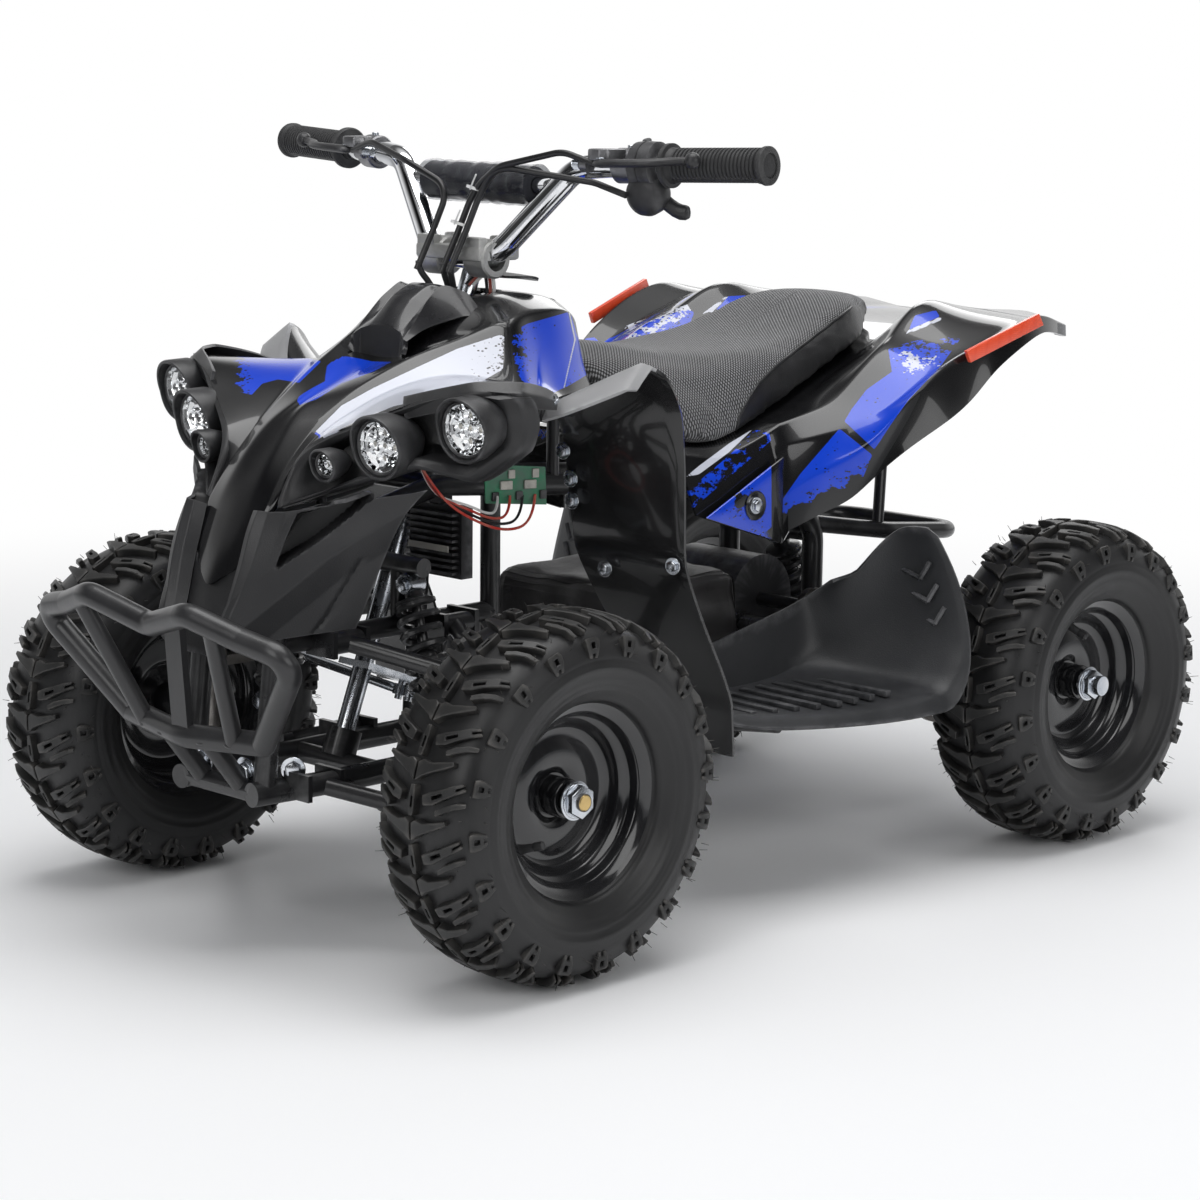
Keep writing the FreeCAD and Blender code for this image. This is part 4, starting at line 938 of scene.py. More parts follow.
def tread_block(left, right, holes, turn, side, spots, faces):
    """One block: its open top, and walls wherever its rubber ends."""
    across = (0, 0.36, 0.66, 1)
    rows = len(left)
    base = len(spots)
    for rise in (0, 1):
        for (s0, t0), (s1, t1) in zip(left, right):
            for share in across:
                s, t = s0 + share * (s1 - s0), t0 + share * (t1 - t0)
                if rise:
                    mid_s, mid_t = (s0 + s1) / 2, (t0 + t1) / 2
                    s, t = s + (mid_s - s) * LUG_TAPER, t + (mid_t - t) * LUG_TAPER
                height = block_height(t) if rise else LUG_ROOT
                spots.append(on_tyre(s + turn, t, height, side))
    level = rows * 4
    kept = {(i, j) for i in range(rows - 1) for j in range(3)} - set(holes)
    for i, j in kept:
        a = base + level + i * 4 + j
        faces.append((a, a + 1, a + 5, a + 4))
        for (di, dj), (p, q) in (((0, -1), (0, 4)), ((0, 1), (5, 1)), ((-1, 0), (1, 0)), ((1, 0), (4, 5))):
            if (i + di, j + dj) not in kept:
                faces.append((a + p, a + q, a + q - level, a + p - level))


def make_tyre():
    """Tyre about the Y axis at the origin: casing and its tread blocks."""
    outside = [(y / 1000, r / 1000) for y, r in reversed(CARCASS)]
    inside = [(-y, r) for y, r in reversed(outside[:-1])]
    bead = [(-0.034, 0.079), (-0.030, 0.0765), (0.030, 0.0765), (0.034, 0.079)]
    casing = lathe("casing", outside + inside + bead, (0, 0, 0), steps=120)
    coated(casing, 60, TYRE)
    spots, faces = [], []
    for k in range(PITCHES):
        turn = k * PITCH
        for side in (1, -1):
            for left, right, holes in BLOCKS:
                tread_block(left, right, holes, turn, side, spots, faces)
        tread_block(*RIB, turn, 1, spots, faces)
    tread = mesh_piece("tread", [p / 1000 for p in spots], faces)
    outward(tread)
    modify(tread, "BEVEL", width=0.0007, segments=1, limit_method="ANGLE", angle_limit=math.radians(40))
    coated(tread, 28, LUG)
    hairs = []
    seed = random.Random(7)
    for k in range(HAIRS):
        turn = seed.uniform(0, 2 * math.pi) * TYRE_RADIUS
        t = seed.choice((-1, 1)) * seed.uniform(30, 68)
        root = on_tyre(turn, t, block_height(t) - 2, 1)
        tip = on_tyre(turn + seed.uniform(-3, 3), t, block_height(t) + seed.uniform(2.5, 7), 1)
        if math.hypot(tip.x, tip.z) < HAIR_LIMIT:
            hairs.append((root / 1000, tip / 1000))
    hair = bristles("hairs", hairs, 0.0004)
    paint(hair, LUG)
    return join([casing, tread, hair], "tyre_pattern")


RIM_FACE = [(38.4, 86.4), (37.4, 87.6), (36.2, 87), (35.2, 84), (34.2, 79.6), (32.4, 77), (29.5, 75.6),
            (24, 75), (21.6, 73.8), (20.4, 71.5), (19, 68.6), (16.5, 66.6), (12, 65.5), (8, 64.2),
            (5.4, 61.8), (3.6, 58), (3.2, 54), (4.4, 50), (6.2, 44), (7.4, 36), (7.2, 29), (6, 24.5),
            (3.5, 21.6), (2, 19.8), (2, 17.6), (19.5, 17.4), (21.6, 16.6), (22.4, 15.2), (22.6, 8.1)]
RIM_BACK = [(-28, 8.1), (-28, 16.5), (-2, 17.4), (-1, 22), (2, 30), (2.4, 40), (0.5, 48), (-1.5, 54),
            (-2, 59), (-6, 62.4), (-12, 64), (-17, 66.6), (-20, 70), (-22, 73.6), (-29, 74.4),
            (-33, 77), (-35, 81), (-36.4, 86), (-37.4, 87.6), (-38.4, 86.4), (-36.8, 83), (-35.6, 79.4),
            (-33, 76.6), (-20, 76), (20, 76), (33, 76.8), (35.6, 79.8), (36.8, 83)]


def make_rim(bore):
    corners = [(a, max(r, bore)) for a, r in RIM_FACE + RIM_BACK]
    return turned("rim_pattern", corners, (0, 0, 0), (0, 1, 0), 96, 38, RIM)


def valve_stem(turn):
    """Snap-in valve with its cap, through the well beside the disc."""
    way = Vector((math.cos(turn), 0, math.sin(turn)))
    foot = way * 0.0665 + Vector((0, 0.0145, 0))
    lean = (Vector((0, 1, 0)) - way * 0.55).normalized()
    profile = [(-3, 0), (-3, 5.6), (0.5, 6.4), (2, 5.2), (8, 3.9), (15, 3.6), (16, 3.0), (17, 3.9),
               (25, 3.9), (26.5, 2.6), (26.5, 0)]
    return turned("valve", profile, foot, lean, 20, 40, GRIP, closed=False)


def wheel_nut(y, tip):
    """Washers, hex nut and the threaded end of the axle, along +Y from y."""
    rings = [(0.2, 8), (0.2, 17), (2.2, 17.4), (2.8, 14.6), (3.4, 14.6), (3.6, 8)]
    thread = [(9, 0), (9, tip * 0.92), (13.4, tip * 0.92), (14.4, tip * 0.8), (14.4, 0)]
    return [turned("washers", rings, (0, y, 0), (0, 1, 0), 40, 30, ZINC),
            hex_head("nut", (0, y + 0.0028, 0), (0, 1, 0), 0.0153, 0.0075, 1.02),
            turned("axle_tip", thread, (0, y, 0), (0, 1, 0), 28, 30, BRASS, closed=False)]


def place_wheels():
    tyre = make_tyre()
    front_rim = make_rim(8.1)
    rear_rim = make_rim(10.1)
    # Corner, axle, side, body, roll of the tread, place of the valve
    wheels = [("front_left", FRONT_AXLE, 1, "wheel_front_left", 0.35, -0.6),
              ("front_right", FRONT_AXLE, -1, "wheel_front_right", 1.9, 2.2),
              ("rear_left", REAR_AXLE, 1, "rear_axle", 0.1, 1.25),
              ("rear_right", REAR_AXLE, -1, "rear_axle", 0.8, 2.6)]
    for corner, axle, side, body, roll, valve in wheels:
        shift = Matrix.Translation(axle + Vector((0, side * WHEEL_Y, 0)))
        shift = shift @ (OTHER_SIDE if side < 0 else Matrix.Identity(4))
        rolled = Matrix.Rotation(roll, 4, "Y")
        dress(copied(tyre, "tyre_" + corner + "_look", shift @ rolled), body, "tyre", "tyre_" + corner)
        at_front = axle is FRONT_AXLE
        rim = copied(front_rim if at_front else rear_rim, "rim_" + corner + "_look", shift)
        dress(join([rim, moved(valve_stem(valve), shift)], rim.name), body, "rim_black", "rim_" + corner)
        nut = join(wheel_nut(0.0285, 8 if at_front else 10), "wheel_nut_" + corner)
        dress(moved(nut, shift), body.replace("wheel_front", "knuckle"), "zinc")
    for pattern in (tyre, front_rim, rear_rim):
        bpy.data.objects.remove(pattern)


# Colour fields on the shells

def inside_by(spot, corners):
    """Distance in from the border of a flat outline, negative outside."""
    x, y = spot
    inside, nearest = False, 1e9
    for start, end in zip(corners, corners[1:] + corners[:1]):
        (x0, y0), (x1, y1) = start, end
        if (y0 > y) != (y1 > y) and x < x0 + (y - y0) * (x1 - x0) / (y1 - y0):
            inside = not inside
        nearest = min(nearest, run_distance(spot, start, end))
    return nearest if inside else -nearest


def run_distance(spot, start, end):
    """Distance of a flat point from one straight run."""
    (x, y), (x0, y0), (x1, y1) = spot, start, end
    dx, dy = x1 - x0, y1 - y0
    share = max(0, min(1, ((x - x0) * dx + (y - y0) * dy) / (dx * dx + dy * dy)))
    return math.hypot(x0 + share * dx - x, y0 + share * dy - y)


FIELD_MARGIN = 9
FACING = 0.02


def mark(piece, fields):
    """Store each vertex's distance inside the colour fields, and their spatter.

    A field is outlined as the camera sees it, and the other side mirrors it
    unless the field belongs to the right side alone.
    """
    found_at = {name: [] for name in ("blue", "blue_spatter", "pale", "pale_spatter")}
    boxes = []
    for field in fields:
        across, down = zip(*field[2])
        boxes.append((min(across) - FIELD_MARGIN, max(across) + FIELD_MARGIN,
                      min(down) - FIELD_MARGIN, max(down) + FIELD_MARGIN))
    normals = [vertex.normal.copy() for vertex in piece.data.vertices]
    for vertex, normal in zip(piece.data.vertices, normals):
        spot = vertex.co.copy()
        right = spot.y < 0
        views = [(seen_at(spot), normal.dot(CAMERA_BACK))]
        if right:
            normal.y = -normal.y
            views.append((seen_at(Vector((spot.x, -spot.y, spot.z))), normal.dot(CAMERA_BACK)))
        else:
            views.append(views[0])
        place = (spot.x * 1000 + MIDDLE_X, spot.y * 1000, spot.z * 1000)
        found = {"blue": (-FIELD_MARGIN, 0), "pale": (-FIELD_MARGIN, 0)}
        for (colour, own_side, corners, reach, spatter), (low_x, high_x, low_y, high_y) in zip(fields, boxes):
            if own_side and not right:
                continue
            (px, py), facing = views[0 if own_side else 1]
            near = low_x < px < high_x and low_y < py < high_y
            if facing < FACING or not near or not reach(*place):
                continue
            depth = inside_by((px, py), corners)
            if depth > found[colour][0]:
                found[colour] = (depth, max(0.0, min(1.0, spatter(px, py))))
        for colour, (depth, dense) in found.items():
            found_at[colour].append(depth)
            found_at[colour + "_spatter"].append(dense)
    for name, values in found_at.items():
        piece.data.attributes.new(name, "FLOAT", "POINT").data.foreach_set("value", values)


def plain(px, py):
    return 0


def left_side(x, y, z):
    return y > 0


def anywhere(x, y, z):
    return True


# Hood, tank cover and hump

# Half rows from the centre: centre, inner line, ridge, foot of the ridge, wing, edge
HOOD = [
    [(532, 0, 332), (529, 8, 337), (525, 17, 343), (522, 23, 347), (520, 28, 350), (518, 30, 353)],
    [(523, 0, 354), (521, 12, 355), (519, 26, 355), (517, 30, 356), (516, 32, 358), (513, 33, 360)],
    [(513, 0, 375), (512, 18, 376), (509, 34, 378), (507, 38, 379), (505, 39, 380), (502, 39, 382)],
    [(502, 0, 401), (500, 22, 402), (497, 40, 402), (495, 43, 402), (492, 44, 402), (488, 44, 402)],
    [(482, 0, 431), (481, 20, 434), (475, 37, 434), (474, 41, 431), (474, 45, 430), (472, 48, 428)],
    [(456, 0, 461), (455, 18, 463), (451, 37, 459), (451, 41, 453), (457, 46, 455), (463, 50, 457)],
    [(440, 0, 475), (439, 12, 477), (432, 38, 475), (431, 46, 469), (440, 64, 471), (449, 78, 470)],
    [(424, 0, 484), (423, 6, 487), (412, 39, 488), (410, 52, 481), (424, 80, 481), (437, 100, 480)],
    [(405, 0, 491), (404, 10, 494), (392, 41, 501), (388, 60, 493), (407, 96, 491), (424, 126, 491)],
    [(383, 0, 500), (381, 16, 504), (366, 48, 514), (362, 70, 504), (386, 116, 501), (408, 155, 504)],
    [(360, 0, 509), (357, 22, 514), (342, 52, 525), (336, 88, 511), (366, 138, 508), (394, 176, 512)],
    [(343, 0, 515), (341, 26, 518), (318, 61, 534), (312, 106, 511), (346, 168, 508), (381, 216, 511)],
    [(310, 0, 525), (308, 28, 530), (290, 74, 543), (290, 132, 503), (318, 184, 503), (352, 224, 507)],
    [(285, 0, 540), (284, 32, 552), (266, 88, 553), (268, 142, 495), (290, 176, 496), (312, 200, 499)],
    [(255, 0, 566), (254, 40, 575), (246, 92, 557), (246, 124, 494), (250, 138, 490), (254, 148, 487)],
    [(225, 0, 579), (225, 45, 578), (224, 84, 562), (224, 96, 534), (224, 112, 500), (225, 126, 488)],
    [(190, 0, 577), (190, 45, 576), (192, 84, 563), (192, 93, 540), (192, 107, 503), (192, 118, 489)],
    [(158, 0, 572), (158, 50, 572), (166, 80, 562), (165, 87, 540), (163, 95, 508), (161, 104, 488)],
    [(142, 0, 560), (142, 50, 559), (151, 75, 550), (153, 82, 532), (154, 90, 506), (153, 100, 487)],
    [(132, 0, 528), (132, 48, 527), (140, 68, 520), (145, 78, 508), (149, 86, 496), (150, 96, 486)],
]


# Outlines in picture points: colour, right side alone, corners, where it holds, spatter
HOOD_FIELDS = [
    ("blue", False, [(567.9, 312), (573.9, 339.4), (564, 387.6), (545.1, 397.4), (522.2, 380.9),
                     (501.1, 364.8), (497.6, 351.8), (504.6, 335.2), (527.5, 323.6)], anywhere,
     lambda px, py: (545 - px) / 45),
    ("blue", False, [(570.4, 312), (576.7, 334.2), (591.5, 371.8), (578.5, 379.9), (563.3, 388.7),
                     (573.2, 339.4)], anywhere, lambda px, py: (py - 330) / 150),
    ("pale", False, [(568.2, 312), (569.6, 312), (575.8, 339.4), (564.6, 388), (563, 388), (574, 339.4)],
     anywhere, plain),
    ("pale", False, [(504.6, 333.1), (457.2, 348.6), (422, 364.8), (372.8, 388), (341.2, 405.5),
                     (315.2, 431.5), (323.6, 437.2), (358.8, 420.3), (393.9, 406.2), (429.1, 398.5),
                     (478.3, 383.4), (502.9, 369.3)], left_side, lambda px, py: (px - 455) / 90),
    ("blue", False, [(391.1, 404.4), (401, 396.4), (433, 386), (433, 394.2)], left_side, lambda px, py: 0.2),
    ("blue", False, [(313.9, 433.5), (332.7, 420.7), (330.3, 430.4), (320.1, 437.1)], left_side, plain),
    ("blue", False, [(296.2, 406.2), (314.8, 383.4), (340.5, 362.6), (362.3, 361), (392.4, 361.8),
                     (372.8, 371.8), (341.2, 383.4), (316.6, 399.2)], lambda x, y, z: abs(y) < 34, plain),
    ("blue", True, [(224.5, 336.6), (246.3, 339.4), (268.1, 346.5), (292, 354.2), (321.4, 361.2),
                    (299, 382.9), (277.9, 379.4), (262.1, 383.6), (251.6, 394.9), (225.2, 388.8)], anywhere,
     lambda px, py: (262 - px) / 38),
]


def build_hood():
    hood = start_shell("hood_shell", HOOD, {1: 0.35, 2: 0.75, 3: 0.8, 5: 1.0}, {3: 0.3, 18: 0.35, 19: 1}, 4,
                       mirrored=True)
    for place, radius in (((222, 0, 575), 0.034), ((260, 8, 575), 0.021)):
        punch(hood, at(*place), radius)
    mark(hood, HOOD_FIELDS)
    thicken(hood, 0.003, 40)
    dress(hood, "chassis", "body_gloss", "hood", materials=[SHELL])


ABOVE = 0.5


def punch(piece, centre, radius):
    """Round opening in the upper side: faces inside go, the border moves onto the circle."""
    net = bmesh.new()
    net.from_mesh(piece.data)
    centres = [(face, face.calc_center_median()) for face in net.faces]
    gone = [face for face, spot in centres if (spot - centre).xy.length < radius and spot.z > ABOVE]
    bmesh.ops.delete(net, geom=gone, context="FACES")
    for vertex in net.verts:
        away = (vertex.co - centre).xy
        if vertex.is_boundary and away.length < radius * 1.45 and vertex.co.z > ABOVE:
            away = away.normalized() * radius
            vertex.co.x, vertex.co.y = centre.x + away.x, centre.y + away.y
    net.to_mesh(piece.data)
    net.free()


HUMP = [
    [(328, 0, 517), (328, 14, 518), (329, 25, 518), (331, 32, 522), (335, 38, 527)],
    [(328, 0, 536), (328, 14, 534), (328, 26, 532), (331, 33, 530), (332, 37, 532)],
    [(327, 0, 551), (327, 15, 549), (328, 28, 545), (331, 34, 540), (330, 38, 538)],
    [(318, 0, 563), (316, 15, 561), (312, 26, 557), (314, 34, 557), (312, 40, 548)],
    [(304, 0, 575), (302, 15, 574), (297, 24, 569), (300, 31, 572), (298, 43, 552)],
    [(288, 0, 583), (287, 14, 583), (283, 22, 577), (286, 29, 582), (282, 48, 556)],
    [(276, 0, 587), (275, 13, 587), (270, 20, 583), (276, 28, 588), (270, 52, 560)],
    [(262, 0, 584), (262, 16, 583), (260, 30, 581), (258, 42, 578), (252, 60, 557)],
]


def build_hump():
    hump = start_shell("hump", HUMP, {1: 0.9, 2: 1, 3: 1, 4: 0.8}, {0: 1, 2: 1, 4: 0.4, 7: 1}, 3,
                       mirrored=True)
    thicken(hump, 0.003, 40)
    paint(hump, HUMP_GLOSS, HUMP_FRONT)
    for face in hump.data.polygons:
        if face.normal.x > 0.85 and abs(face.center.y) < 0.028:
            face.material_index = 1
    dress(hump, "chassis", "body_gloss")


# Nose columns, wings and lamp pods

# From the wing's outer edge over the ridge to the hollow beside the tongue
NOSE_SIDE = [
    [(415, 160, 424), (440, 128, 416), (470, 92, 408), (496, 66, 402), (508, 57, 402), (514, 50, 403),
     (512, 41, 402), (502, 36, 398)],
    [(425, 143, 405), (450, 110, 398), (478, 82, 391), (504, 65, 385), (517, 58, 384), (523, 48, 384),
     (520, 39, 383), (510, 33, 380)],
    [(430, 128, 374), (458, 100, 369), (490, 76, 364), (514, 64, 360), (527, 58, 359), (531, 49, 358),
     (528, 40, 357), (519, 32, 355)],
    [(436, 111, 332), (466, 88, 329), (500, 68, 327), (526, 56, 327), (538, 51, 327), (541, 44, 326),
     (537, 36, 325), (529, 28, 324)],
    [(440, 101, 306), (470, 80, 303), (506, 62, 300), (534, 51, 303), (545, 47, 308), (547, 41, 306),
     (544, 34, 303), (538, 26, 302)],
    [(442, 96, 296), (474, 77, 292), (510, 59, 288), (538, 47, 285), (550, 43, 284), (552, 36, 281),
     (550, 28, 277), (546, 18, 274)],
]


NOSE_MIDDLE = [
    [(520, 0, 352), (519, 20, 353), (516, 36, 356)],
    [(530, 0, 326), (528, 20, 326), (526, 35, 326)],
    [(540, 0, 300), (538, 18, 300), (536, 31, 302)],
    [(548, 0, 275), (548, 15, 274), (545, 26, 274)],
]
# Lines and an outline on the shroud, in picture points
SHROUD_RIDGE = [(415, 504), (327, 557), (239, 628)]
SHROUD_GROOVES = [[(362, 560), (320, 627)], [(338, 607), (314, 633)]]
TONGUE_GAP = [(299, 513), (376, 496), (318, 541), (276, 569), (284, 543)]
# Heights and depths in metres, with the reach of each in picture points
RIDGE_HIGH, RIDGE_REACH = 0.006, 26
GROOVE_DEEP, GROOVE_REACH = 0.0016, 3.2
GAP_DEEP, GAP_REACH = 0.022, 2.5


def line_distance(spot, route):
    """Distance in the picture from a broken line."""
    return min(run_distance(spot, start, end) for start, end in zip(route, route[1:]))


def shape_shroud(side):
    """Raise the ridge, cut the two grooves and sink the gap beside the tongue, its faces painted near-black as
    shade.
    """
    normals = [vertex.normal.copy() for vertex in side.data.vertices]
    for vertex, normal in zip(side.data.vertices, normals):
        seen = seen_at(vertex.co)
        lift = RIDGE_HIGH * max(0, 1 - line_distance(seen, SHROUD_RIDGE) / RIDGE_REACH)
        for groove in SHROUD_GROOVES:
            lift -= GROOVE_DEEP * max(0, 1 - line_distance(seen, groove) / GROOVE_REACH)
        depth = inside_by(seen, TONGUE_GAP)
        if depth > 0:
            lift = -GAP_DEEP * min(1, depth / GAP_REACH)
        vertex.co += normal * lift
    # Faces in the gap beside the tongue take the near-black second material: painted shade standing for the dark
    # opening
    for face in side.data.polygons:
        if inside_by(seen_at(face.center), TONGUE_GAP) > -0.5:
            face.material_index = 1


def build_nose():
    side = start_shell("nose_side_left", NOSE_SIDE, {0: 1, 1: 0.35, 3: 0.6, 4: 0.7, 5: 0.7, 6: 0.55, 7: 1},
                       {0: 1, 5: 1}, 4, way=(1, 0, 0))
    paint(side, SHROUD, BOWL_AND_GAP_SHADE)
    shape_shroud(side)
    thicken(side, 0.0035, 38)
    dress_pair(side, "chassis", "body_matte", "shrouds")
    middle = start_shell("nose_middle", NOSE_MIDDLE, {2: 1}, {0: 1, 3: 1}, 2, way=(1, 0, 0), mirrored=True)
    thicken(middle, 0.003, 38)
    dress(middle, "chassis", "body_matte", "nose_panel", materials=[MATTE])


POD_OUTER = [(494, 44, 400), (445, 107, 426), (425, 155, 443), (388, 190, 429), (365, 220, 458),
             (354, 221, 483), (372, 226, 507), (395, 176, 513), (424, 126, 491), (449, 78, 470),
             (465, 50, 455), (480, 45, 430)]
POD_INNER = [(484, 56, 405), (441, 107, 435), (424, 150, 452), (392, 184, 444), (374, 207, 464),
             (372, 208, 485), (385, 200, 503), (399, 168, 504), (424, 126, 484), (446, 84, 464),
             (462, 60, 448), (474, 54, 430)]
LAMPS = [((406, 197, 479), 26, 40), ((442, 127, 460), 26, 44), ((466, 84, 442), 12.5, 26)]
LAMP_WAY = Vector((1, 0.10, -0.08)).normalized()
BOWL_REACH = 0.012


def build_pods():
    outer, inner = points(POD_OUTER), points(POD_INNER)
    middle = (sum(outer, Vector()) / len(outer))
    back = Vector((-0.030, 0, 0.002))
    rows = [
        [p + Vector((-0.022, 0, 0)) + (p - middle) * -0.02 for p in outer],
        [p + Vector((-0.002, 0, 0)) for p in outer],
        [p.lerp(q, 0.45) + Vector((0.0035, 0, 0)) for p, q in zip(outer, inner)],
        inner,
        [q + back * 0.9 + (middle - q) * 0.05 for q in inner],
        [q + back + (middle - q) * 0.35 for q in inner],
        [middle + back * 1.1 for q in inner],
    ]
    pod = grid("pod_left", rows, closed=True)
    crease(pod, 12, {k: 0.5 for k in (0, 2, 3, 4, 6)}, {0: 1, 1: 0.75, 2: 0.5, 3: 0.8, 4: 0.6})
    outward(pod)
    face = max(pod.data.polygons, key=lambda p: p.center.x)
    if face.normal.x < 0:
        pod.data.flip_normals()
    subdivide(pod, 2)
    thicken(pod, 0.0025, 40)
    paint(pod, MATTE, BOWL_AND_GAP_SHADE)
    for polygon in pod.data.polygons:
        spot = polygon.center
        near = min((spot - q - back * 0.5).length for q in rows[4])
        if near < BOWL_REACH:
            polygon.material_index = 1
    housings, inserts, lenses = [], [], []
    for place, radius, depth in LAMPS:
        centre = at(*place)
        big = radius > 20
        housings.append(lamp_housing(centre, radius, depth, big))
        rim = [(-5, radius - 0.9), (0.6, radius - 0.7), (1.2, radius - 1.6), (0.4, radius - 3.2),
               (-4, radius - 3.6)]
        inserts.append(turned("ring", rim, centre, LAMP_WAY, 40, 40, BOWL_AND_GAP_SHADE))
        inserts += lamp_inside(centre, radius, big)
        dome = [(0.6 + 2.2 * (1 - (k / 6) ** 2), (radius - 1.8) * k / 6) for k in range(7)]
        dome += [(a - 1.2, r) for a, r in reversed(dome)]
        lenses.append(turned("lens", dome, centre, LAMP_WAY, 40, 40, CLEAR, closed=False))
    dress_pair(join([pod] + housings, "pod_left"), "chassis", "body_matte", "lamp_pods")
    dress_pair(join(inserts, "lamp_inserts_left"), "chassis", "lamp_clear")
    dress_pair(join(lenses, "lamp_lenses_left"), "chassis", "lamp_clear", "lamps")


def lamp_housing(centre, radius, depth, big):
    """Cup of a lamp, its upper rim drawn forward as a small peak."""
    wall = 3.0 if big else 2.4
    peak = 0.0065 if big else 0.004
    profile = [(-depth, radius * 0.55), (-depth * 0.75, radius * 0.86), (-depth * 0.3, radius + wall * 0.9),
               (2, radius + wall + 0.6), (4, radius + wall), (4.6, radius + wall * 0.5),
               (4, radius + 0.3), (1, radius - 0.4), (-5, radius - 0.8), (-5, radius - 2.5),
               (-depth * 0.7, radius * 0.8), (-depth * 0.9, radius * 0.5)]
    housing = lathe("housing", millimetres(profile), centre, LAMP_WAY, 48)
    for vertex in housing.data.vertices:
        away = vertex.co - centre
        along = away.dot(LAMP_WAY)
        if along > 0:
            height = (away - LAMP_WAY * along).z / ((radius + wall) / 1000)
            vertex.co += LAMP_WAY * max(0, height + 0.15) * peak * min(1, along / 0.002)
    return coated(housing, 40, MATTE)


FLANGE = [
    [(418, 132, 503), (420, 133, 493), (418, 134, 483)],
    [(402, 158, 511), (406, 162, 503), (402, 164, 492)],
    [(386, 190, 519), (392, 196, 510), (388, 200, 498)],
    [(352, 212, 518), (364, 224, 510), (362, 224, 496)],
    [(318, 206, 511), (330, 216, 504), (330, 214, 492)],
    [(292, 194, 501), (297, 200, 495), (298, 200, 488)],
]


def build_flanges():
    """Matt strip from the outer lamp back along the wing's edge to the mudguard."""
    strip = start_shell("flange_left", FLANGE, {0: 1, 1: 0.8, 2: 1}, {0: 1, 2: 0.4, 3: 0.4, 5: 1}, 3)
    thicken(strip, 0.003, 38)
    paint(strip, MATTE)
    dress_pair(strip, "chassis", "body_matte")
    screws = [socket_screw("flange_screw", at(301, side * 199, 497), (0.8, side * 0.3, 0.5), 0.0052, 0.004)
              for side in (1, -1)]
    dress(join(screws, "flange_screws"), "chassis", "zinc")


def lamp_inside(centre, radius, big):
    """Facetted bright bowl with its cup-shaped reflectors and their small lights."""
    reach = radius - 3.4
    deep = [(-0.5, reach), (-5, reach * 0.93), (-10, reach * 0.72), (-13, reach * 0.4), (-14, 0)]
    bowl = lathe("bowl", millimetres(deep), centre, LAMP_WAY, 14 if big else 10, closed=False)
    face_towards(bowl, (1, 0, 0))
    modify(bowl, "SOLIDIFY", thickness=0.0006, offset=-1)
    pieces = [faceted(bowl, MIRROR)]
    side = LAMP_WAY.orthogonal().normalized()
    other = LAMP_WAY.cross(side)
    spots = [(math.cos(t) * reach * 0.5, math.sin(t) * reach * 0.5)
             for t in (0.7, 0.7 + math.pi / 2, 0.7 + math.pi, 0.7 + 1.5 * math.pi)] if big else []
    wide = 6.3 if big else 5.2
    mouth = [(0, 2.2), (2.5, 4.4), (6.5, wide), (7.1, wide - 0.1), (3, 3.9), (0.6, 1.9)]
    bulb = [(0, 2.1), (2.6, 1.9), (3.4, 1.2), (3.7, 0)]
    for a, b in spots + [(0, 0)]:
        place = centre + (side * a + other * b) / 1000 - LAMP_WAY * 0.011
        pieces.append(faceted(lathe("cup", millimetres(mouth), place, LAMP_WAY, 12), MIRROR))
        pieces.append(turned("light", bulb, place, LAMP_WAY, 12, 40, LABEL, closed=False))
    return pieces


# Rear body, side panels and reflectors

# Half rows: under the seat, the seat's edge, hump or flank, trough, lip, skirt
REAR = [
    [(62, 0, 430), (62, 108, 430), (62, 121, 421), (60, 130, 405), (56, 137, 382), (51, 141, 362)],
    [(10, 0, 418), (10, 120, 418), (10, 134, 409), (8, 142, 392), (4, 147, 366), (0, 151, 345)],
    [(-55, 0, 436), (-55, 116, 436), (-56, 134, 432), (-57, 143, 408), (-58, 149, 366), (-60, 152, 325)],
    [(-66, 0, 440), (-66, 116, 440), (-70, 138, 441), (-68, 150, 420), (-65, 156, 380), (-63, 158, 338)],
    [(-98, 0, 448), (-98, 114, 448), (-112, 148, 452), (-106, 172, 434), (-100, 186, 404), (-92, 178, 356)],
    [(-122, 0, 455), (-122, 113, 455), (-132, 156, 462), (-128, 194, 446), (-123, 216, 428), (-110, 198, 368)],
    [(-140, 0, 462), (-140, 110, 462), (-150, 160, 480), (-146, 210, 456), (-143, 231, 461), (-124, 215, 393)],
    [(-165, 0, 472), (-165, 106, 472), (-172, 162, 500), (-170, 220, 474), (-168, 239, 486), (-150, 240, 424)],
    [(-195, 0, 482), (-195, 101, 482), (-198, 160, 515), (-206, 221, 490), (-206, 246, 507), (-196, 254, 448)],
    [(-225, 0, 490), (-225, 96, 490), (-222, 150, 520), (-232, 221, 500), (-232, 253, 517), (-224, 260, 470)],
    [(-256, 0, 500), (-256, 90, 500), (-262, 142, 549), (-258, 223, 508), (-258, 260, 526), (-242, 265, 492)],
    [(-290, 0, 508), (-290, 80, 508), (-298, 138, 553), (-298, 226, 520), (-300, 262, 540), (-290, 267, 516)],
    [(-325, 0, 514), (-325, 72, 514), (-326, 134, 545), (-328, 224, 530), (-328, 258, 543), (-326, 262, 527)],
    [(-360, 0, 519), (-360, 68, 519), (-362, 129, 539), (-364, 206, 533), (-364, 250, 532), (-364, 252, 519)],
    [(-405, 0, 523), (-405, 66, 523), (-408, 122, 533), (-410, 180, 528), (-412, 226, 524), (-412, 227, 512)],
    [(-450, 0, 522), (-452, 62, 523), (-456, 116, 530), (-455, 160, 524), (-446, 196, 519), (-446, 196, 508)],
    [(-478, 0, 519), (-484, 58, 520), (-492, 112, 526), (-484, 146, 522), (-463, 176, 517), (-463, 175, 507)],
]
